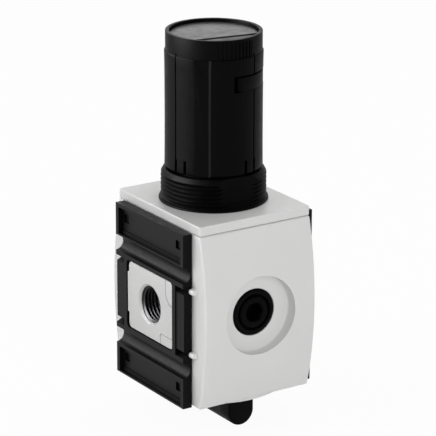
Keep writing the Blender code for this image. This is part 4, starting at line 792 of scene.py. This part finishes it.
def make_gauge_plug(name, end):
    """Plug with a shouldered head, a ring groove in its face and a hex socket."""
    axis = (0, 0, PORT_Z)
    groove_out, groove_foot_out, groove_foot_in, groove_in = PLUG_GROOVE
    crown = PLUG_FACE + 0.3 * MM
    groove_floor = PLUG_FACE - PLUG_GROOVE_DEPTH
    head = [(0, PLUG_TIP), (PLUG_SHANK, PLUG_TIP, 0.3 * MM), (PLUG_SHANK, PLUG_NECK_IN),
            (PLUG_NECK, PLUG_NECK_IN), (PLUG_NECK, PLUG_NECK_OUT), (PLUG_SHANK, PLUG_NECK_OUT),
            (PLUG_SHANK, PLUG_SHOULDER), (PLUG_RADIUS, PLUG_SHOULDER),
            (PLUG_RADIUS, PLUG_FACE - 0.5 * MM, 0.1 * MM), (PLUG_CROWN, PLUG_FACE, 0.2 * MM),
            (groove_out, PLUG_FACE, 0.1 * MM), (groove_foot_out, groove_floor), (groove_foot_in, groove_floor),
            (groove_in, crown, 0.9 * MM), (0, crown)]
    plug = turned(head, SMOOTH, "Y", axis, end)
    plug = carve(plug, slab(hexagon(PLUG_KEY, (0, PORT_Z)),
                            *span(end, PLUG_FACE - PLUG_KEY_DEPTH, PLUG_FACE + PAST), "Y"))
    mouth = [(0, PLUG_FACE - 0.3 * MM), (3.0 * MM, PLUG_FACE - 0.3 * MM), (3.5 * MM, crown),
             (3.7 * MM, PLUG_FACE + 0.5 * MM), (0, PLUG_FACE + 0.5 * MM)]
    plug = carve(plug, turned(mouth, MEDIUM, "Y", axis, end))
    dress(name + "_plug", plug, black_fine, "root", [name + "_gauge_plug"])


def make_closing_plug():
    """Round plug under the housing, with the poppet's guide inside and a grip bar across it."""
    disc = [(0, GUIDE_FLOOR), (GUIDE_RADIUS, GUIDE_FLOOR), (GUIDE_RADIUS, GUIDE_GROOVE_LOW),
            (GUIDE_GROOVE, GUIDE_GROOVE_LOW), (GUIDE_GROOVE, GUIDE_GROOVE_TOP),
            (GUIDE_RADIUS, GUIDE_GROOVE_TOP), (GUIDE_RADIUS, HUB_TOP), (6.2 * MM, HUB_TOP, 0.3 * MM),
            (HUB_RADIUS, HUB_TOP, 0.3 * MM),
            (HUB_RADIUS, CLOSING_TOP), (CLOSING_RADIUS, CLOSING_TOP), (CLOSING_RADIUS, CLOSING_GROOVE_TOP),
            (CLOSING_GROOVE, CLOSING_GROOVE_TOP), (CLOSING_GROOVE, CLOSING_GROOVE_LOW),
            (CLOSING_RADIUS, CLOSING_GROOVE_LOW), (CLOSING_RADIUS, CLOSING_FACE, 0.4 * MM), (0, CLOSING_FACE)]
    plug = turned(disc, SMOOTH)
    grip = [(-GRIP_HALF, 0)]
    for step in range(GRIP_STEPS + 1):
        turn = pi + pi * step / GRIP_STEPS
        grip.append((GRIP_HALF * cos(turn), -GRIP_DROP + GRIP_HALF * sin(turn)))
    grip.append((GRIP_HALF, 0))
    bar = slab(grip, -GRIP_REACH, GRIP_REACH, "Y", 0.5 * MM)
    hollow = soften([(HOLLOW_IN, -2.5 * MM, 0.4 * MM), (HOLLOW_OUT, -2.0 * MM), (HOLLOW_OUT, HOLLOW_LOW),
                     (HOLLOW_IN, HOLLOW_LOW)], True)
    for side in (-1, 1):
        bar = carve(bar, slab([(side * x, z) for x, z in hollow], -HOLLOW_REACH, HOLLOW_REACH, "Y", 0.45 * MM))
    plug = carve(plug, bar, "UNION")
    dress("closing_plug_grip", plug, black_fine, "root", ["closing_plug"], 0.15 * MM, 2)


# Bonnet


def make_bonnet():
    """Flange, threaded collar with two flats, and the tower that holds the spring and the spindle."""
    body = [(BONNET_BORE, BONNET_LOW, 0.3 * MM), (BONNET_RADIUS, BONNET_LOW, 0.4 * MM),
            (BONNET_RADIUS, FLANGE_LOW), (FLANGE_RADIUS, FLANGE_LOW, 0.2 * MM),
            (FLANGE_RADIUS, FLANGE_TOP - 0.25 * MM, 0.25 * MM), (17.7 * MM, FLANGE_TOP + 0.1 * MM, 0.3 * MM),
            (COLLAR_CORE, FLANGE_TOP + 0.9 * MM), (COLLAR_CORE, 73.4 * MM), (COLLAR_RING, 73.9 * MM, 0.2 * MM),
            (COLLAR_RING, 74.3 * MM, 0.4 * MM), (17.0 * MM, COLLAR_TOP, 0.4 * MM),
            (16.2 * MM, COLLAR_TOP, 0.2 * MM), (COLLAR_BORE, 75.2 * MM, 0.3 * MM),
            (COLLAR_BORE, COLLAR_FLOOR, 0.6 * MM), (TOWER_RADIUS, COLLAR_FLOOR, 0.6 * MM),
            (TOWER_RADIUS, TOWER_TOP, 0.4 * MM), (SPINDLE_HOLE, TOWER_TOP, 0.2 * MM),
            (SPINDLE_HOLE, TOWER_CEILING), (BONNET_BORE, TOWER_CEILING, 0.5 * MM)]
    bonnet = turned(soften(body, True, 3), SMOOTH)
    thread = threaded(COLLAR_ROOT, COLLAR_CREST, COLLAR_PITCH, FLANGE_TOP - 0.1 * MM, COLLAR_THREAD_TOP,
                      SMOOTH)
    below, above = 60 * MM, 80 * MM
    hollow = 16.3 * MM
    thread = carve(thread, turned([(0, below), (hollow, below), (hollow, above), (0, above)], SMOOTH))
    bonnet = carve(bonnet, thread, "UNION")
    top = COLLAR_TOP + PAST
    lean = [(COLLAR_FLAT, FLANGE_TOP + 1.9 * MM), (COLLAR_FLAT + 1.4 * MM, FLANGE_TOP),
            (20 * MM, FLANGE_TOP), (20 * MM, top), (COLLAR_FLAT, top)]
    for end in (-1, 1):
        flat = slab([(end * y, z) for y, z in lean], -12 * MM, 12 * MM, "X")
        bonnet = carve(bonnet, turn_round(flat, COLLAR_TURN))
    bonnet = carve(bonnet, block((-KEYWAY_HALF, KEYWAY_HALF), (-KEYWAY_REACH, KEYWAY_REACH),
                                 (CYLINDER_TOP, KEYWAY_TOP)))
    dress("threaded_bonnet", bonnet, black_fine, "root", ["bonnet"], crease=28)


# Knob


def knob_wall():
    """Outer half section of the knob, from its foot to its rim, with a slightly slimmer waist."""
    wall = [(KNOB_BORE, KNOB_LOW, 0.3 * MM), (KNOB_GRIP, KNOB_LOW, 0.95 * MM)]
    for step in range(1, KNOB_STEPS):
        share = step / KNOB_STEPS
        pinch = KNOB_PINCH * sin(pi * share) ** 0.6
        wall.append((KNOB_GRIP - pinch, KNOB_LOW + (KNOB_LEDGE - KNOB_LOW) * share))
    return wall + [(KNOB_GRIP, KNOB_LEDGE - 0.2 * MM, 0.15 * MM), (KNOB_BAND, KNOB_LEDGE + 0.2 * MM),
                   (KNOB_BAND, KNOB_TOP, 0.15 * MM), (KNOB_RIM, KNOB_TOP, 0.1 * MM), (KNOB_RIM, KNOB_FLOOR)]


def make_knob():
    """Hollow knob with flutes, seams, slits in its foot, the padlock slot and ribs under its rim."""
    inside = [(HEAD_BORE, KNOB_FLOOR), (HEAD_BORE, COUNTERBORE), (SCREW_BORE, COUNTERBORE),
              (SCREW_BORE, KNOB_HUB_LOW), (KNOB_HUB, KNOB_HUB_LOW, 0.3 * MM), (KNOB_HUB, KNOB_CEILING),
              (KNOB_BORE, KNOB_CEILING, 0.5 * MM)]
    knob = turned(soften(knob_wall() + inside, True, 3), 2 * MEDIUM)
    square = (-SQUARE_DRIVE, SQUARE_DRIVE)
    knob = carve(knob, block(square, square, (SQUARE_DRIVE_LOW, SQUARE_DRIVE_TOP)))
    low = KNOB_LOW - PAST
    high = KNOB_LEDGE + PAST
    for start, stop in FLUTES:
        scoop = [around(KNOB_GRIP, start), around(KNOB_GRIP - FLUTE_DEPTH, stop - FLUTE_LEAN),
                 around(KNOB_GRIP, stop), around(KNOB_OUT, stop + 1),
                 around(KNOB_OUT + PAST, (start + stop) / 2), around(KNOB_OUT, start)]
        knob = carve(knob, slab(scoop, low, KNOB_LEDGE))
    for degrees in SEAMS:
        knob = carve(knob, spoke(KNOB_GRIP - SEAM_DEPTH, KNOB_OUT, SEAM_WIDTH, low, high, degrees))
    for middle in SLITS:
        for degrees in (middle - SLIT_SPREAD, middle + SLIT_SPREAD):
            knob = carve(knob, spoke(KNOB_GRIP - SLIT_DEPTH, KNOB_OUT, SLIT_WIDTH, low, KNOB_LOW + SLIT_RISE,
                                     degrees))
    knob = carve(knob, sector(KNOB_BORE - PAST, KNOB_OUT, *SLOT_SPAN, SLOT_LOW, SLOT_TOP))
    knob = carve(knob, sector(KNOB_BAND - RIB_STAND, KNOB_OUT, *RIB_FIELD, KNOB_LEDGE, KNOB_TOP - 1 * MM))
    for number in range(RIB_COUNT):
        rib = spoke(KNOB_BAND - 0.6 * MM, KNOB_BAND + 0.05 * MM, RIB_WIDTH, KNOB_LEDGE - 0.3 * MM,
                    KNOB_TOP - 0.9 * MM, RIB_FIRST + RIB_STEP * number, 0.15 * MM)
        knob = carve(knob, rib, "UNION")
    dress("adjusting_knob", knob, black_fine, "knob", ["knob"], 0.1 * MM, 2)


def make_lock_slide():
    """Curved slide that fills the padlock slot, with a well rounded leading end."""
    outside = KNOB_GRIP - 0.2 * MM
    turns = [SLIDE_FIRST + 2 * step for step in range(SLIDE_STEPS + 1)]
    outline = soften([around(SLIDE_IN, SLIDE_INNER_END), (*around(outside, SLIDE_OUTER_END), SLIDE_NOSE)]
                     + [around(outside, turn) for turn in turns]
                     + [around(SLIDE_IN, turn) for turn in reversed(turns)], True, 6)
    slide = slab(outline, SLIDE_LOW, SLIDE_TOP, edge=0.25 * MM)
    dress("padlock_slide", slide, black_fine, "knob", ["lock_slide"])


def make_knob_disc():
    """The disc in the knob's top, parted by a groove into a large and a small segment."""
    blank = [(0, DISC_LOW), (DISC_RADIUS, DISC_LOW), (DISC_RADIUS, DISC_TOP, 0.25 * MM), (0, DISC_TOP)]
    for name, node, finish, inner, outer in (
            ("knob_disc", "knob_cap", disc_painted_top_light, DISC_END, DISC_SPAN),
            ("knob_disc_segment", "knob_window", segment_painted_top_light, -DISC_SPAN, SEGMENT_START)):
        removed = spoke(inner, outer, 2.5 * DISC_SPAN, DISC_LOW - PAST, DISC_TOP + PAST, DISC_TURN)
        disc = carve(turned(blank, SMOOTH), removed)
        dress(name, disc, finish, "knob", [node], 0.12 * MM, 2)


def make_knob_screw():
    """Cap screw that holds the knob on the spindle and stops its lift."""
    head = SCREW_SEAT + SCREW_HEAD_HEIGHT
    screw = turned([(0, SCREW_TIP), (SCREW_RADIUS - 0.3 * MM, SCREW_TIP), (SCREW_RADIUS, SCREW_TIP + 0.3 * MM),
                    (SCREW_RADIUS, SCREW_SEAT), (SCREW_HEAD, SCREW_SEAT, 0.1 * MM),
                    (SCREW_HEAD, head, 0.3 * MM), (0, head)], FINE)
    screw = carve(screw, slab(hexagon(SCREW_KEY), head - 0.9 * MM, head + PAST))
    dress("knob_cap_screw", screw, steel, "spindle", ["knob_screw"])


make_housing()
make_cover()
for side, plate_name, port_name in ((-1, "left", "inlet"), (1, "right", "outlet")):
    make_plate(plate_name, side)
    make_port(port_name, side)
make_gauge_plug("front", -1)
make_gauge_plug("rear", 1)
make_closing_plug()
make_bonnet()
make_knob()
make_lock_slide()
make_knob_disc()
make_knob_screw()

NODE_FINISHES = {
    steel: ["valve_stem", "stem_nut", "adjusting_spring", "spindle", "spindle_clip"],
    brass: ["valve_seat", "filling_nozzle", "seal_retainer", "poppet", "spacer_sleeve", "spring_nut",
            "thrust_washer"],
    alloy: ["piston"],
    rubber: ["inlet_port_seal", "outlet_port_seal", "front_gauge_seal", "rear_gauge_seal",
             "closing_plug_seal", "guide_seal", "poppet_seal", "piston_seal"],
}
for finish, names in NODE_FINISHES.items():
    for name in names:
        for material_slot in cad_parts[name].material_slots:
            material_slot.material = finish


# Studio


ROOM_LIGHT = 0.48
CEILING_LIGHT = 0.2
CEILING_EDGE = (0.4, 0.7)           # the backdrop turns into the ceiling between these heights
FLOOR_TONE = 0.74
FLOOR_WHITE = 0.95                  # share of plain white that direct rays see
LAMP_AIM = Vector((0, 0, 0.06))
LAMPS = (
    # name, place, size, power, whether reflections show it, whether it lights matt surfaces
    ("left_softbox", (*around(1.15, -105), 0.42), (0.6, 0.8), 3.5, False, True),
    ("left_reflector", (*around(1.15, -110), 0.46), (0.9, 0.9), 64, True, False),
    ("rear_left_reflector", (*around(1.15, -155), 0.75), (0.5, 0.5), 6, True, False),
    ("rear_right_reflector", (*around(1.2, 147), 0.5), (0.6, 0.4), 1.4, True, False),
    ("upper_softbox", (*around(0.5, 120), 1.2), (0.9, 0.9), 4.5, True, True),
    ("front_fill", (-0.35, -1.5, 0.45), (1.2, 1.2), 12.8, False, True),
)
VIEW_AZIMUTH = radians(-33.22)
VIEW_ELEVATION = radians(18.239)
VIEW_ROLL = radians(0.192)
VIEW_DISTANCE = 911.2 * MM
VIEW_AIM = (1.57 * MM, 54.19 * MM)  # to the right and up, as the camera sees it
IMAGE_WIDTH = 436
FOCAL_LENGTH = 2613.9               # in pixels of the image
SENSOR_WIDTH = 36


def direct_rays(tree):
    """1 for camera rays and for rays that a surface reflects or lets through, else 0."""
    rays = tree.nodes.new("ShaderNodeLightPath")
    found = rays.outputs["Is Camera Ray"]
    for kind in ("Is Glossy Ray", "Is Transmission Ray"):
        either = tree.nodes.new("ShaderNodeMath")
        either.operation = "MAXIMUM"
        tree.links.new(found, either.inputs[0])
        tree.links.new(rays.outputs[kind], either.inputs[1])
        found = either.outputs[0]
    return found


def make_floor():
    bm = bmesh.new()
    bmesh.ops.create_grid(bm, x_segments=1, y_segments=1, size=3)
    mesh = bpy.data.meshes.new("studio_floor")
    bm.to_mesh(mesh)
    bm.free()
    material = bpy.data.materials.new("pale_floor")
    material.use_nodes = True
    tree = material.node_tree
    shader = tree.nodes["Principled BSDF"]
    shader.inputs["Base Color"].default_value = (FLOOR_TONE, FLOOR_TONE, FLOOR_TONE, 1)
    shader.inputs["Roughness"].default_value = 0.9
    white = tree.nodes.new("ShaderNodeEmission")
    mix = tree.nodes.new("ShaderNodeMixShader")
    part = tree.nodes.new("ShaderNodeMath")
    part.operation = "MULTIPLY"
    part.inputs[1].default_value = FLOOR_WHITE
    tree.links.new(direct_rays(tree), part.inputs[0])
    tree.links.new(part.outputs[0], mix.inputs[0])
    tree.links.new(shader.outputs[0], mix.inputs[1])
    tree.links.new(white.outputs[0], mix.inputs[2])
    tree.links.new(mix.outputs[0], tree.nodes["Material Output"].inputs["Surface"])
    mesh.materials.append(material)
    floor = bpy.data.objects.new("studio_floor", mesh)
    bpy.context.scene.collection.objects.link(floor)


def make_world():
    """A white backdrop under a dim ceiling for the camera and reflections; an even light for the rest."""
    world = bpy.data.worlds.new("studio")
    bpy.context.scene.world = world
    world.use_nodes = True
    tree = world.node_tree
    place = tree.nodes.new("ShaderNodeTexCoord")
    height = tree.nodes.new("ShaderNodeSeparateXYZ")
    backdrop = tree.nodes.new("ShaderNodeMapRange")
    for socket, number in zip(("From Min", "From Max", "To Min", "To Max"), (*CEILING_EDGE, 1, CEILING_LIGHT)):
        backdrop.inputs[socket].default_value = number
    strength = tree.nodes.new("ShaderNodeMapRange")
    strength.inputs["To Min"].default_value = ROOM_LIGHT
    tree.links.new(place.outputs["Generated"], height.inputs[0])
    tree.links.new(height.outputs["Z"], backdrop.inputs["Value"])
    tree.links.new(backdrop.outputs["Result"], strength.inputs["To Max"])
    tree.links.new(direct_rays(tree), strength.inputs["Value"])
    tree.links.new(strength.outputs["Result"], tree.nodes["Background"].inputs["Strength"])
    tree.nodes["Background"].inputs["Color"].default_value = (1, 1, 1, 1)


def make_lamp(name, place, size, energy, glossy, diffuse):
    lamp = bpy.data.lights.new(name, "AREA")
    lamp.shape = "RECTANGLE"
    lamp.size, lamp.size_y = size
    lamp.energy = energy
    holder = bpy.data.objects.new(name, lamp)
    holder.location = place
    holder.rotation_euler = (LAMP_AIM - Vector(place)).to_track_quat("-Z", "Y").to_euler()
    holder.visible_glossy = glossy
    holder.visible_diffuse = diffuse
    bpy.context.scene.collection.objects.link(holder)


def make_camera():
    back = Vector((sin(VIEW_AZIMUTH) * cos(VIEW_ELEVATION), -cos(VIEW_AZIMUTH) * cos(VIEW_ELEVATION),
                   sin(VIEW_ELEVATION)))
    right = Vector((cos(VIEW_AZIMUTH), sin(VIEW_AZIMUTH), 0))
    up = back.cross(right)
    target = right * VIEW_AIM[0] + up * VIEW_AIM[1] + Vector((0, 0, DATUM))
    across = right * cos(VIEW_ROLL) + up * sin(VIEW_ROLL)
    above = up * cos(VIEW_ROLL) - right * sin(VIEW_ROLL)
    lens = bpy.data.cameras.new("photo_view")
    lens.sensor_width = SENSOR_WIDTH
    lens.lens = FOCAL_LENGTH / IMAGE_WIDTH * SENSOR_WIDTH
    lens.clip_start = 0.05
    camera = bpy.data.objects.new("photo_view", lens)
    camera.matrix_world = Matrix.Translation(target + back * VIEW_DISTANCE) @ Matrix(
        (across, above, back)).transposed().to_4x4()
    bpy.context.scene.collection.objects.link(camera)
    bpy.context.scene.camera = camera


make_floor()
make_world()
for lamp in LAMPS:
    make_lamp(*lamp)
make_camera()
bpy.context.scene.view_settings.view_transform = "Standard"
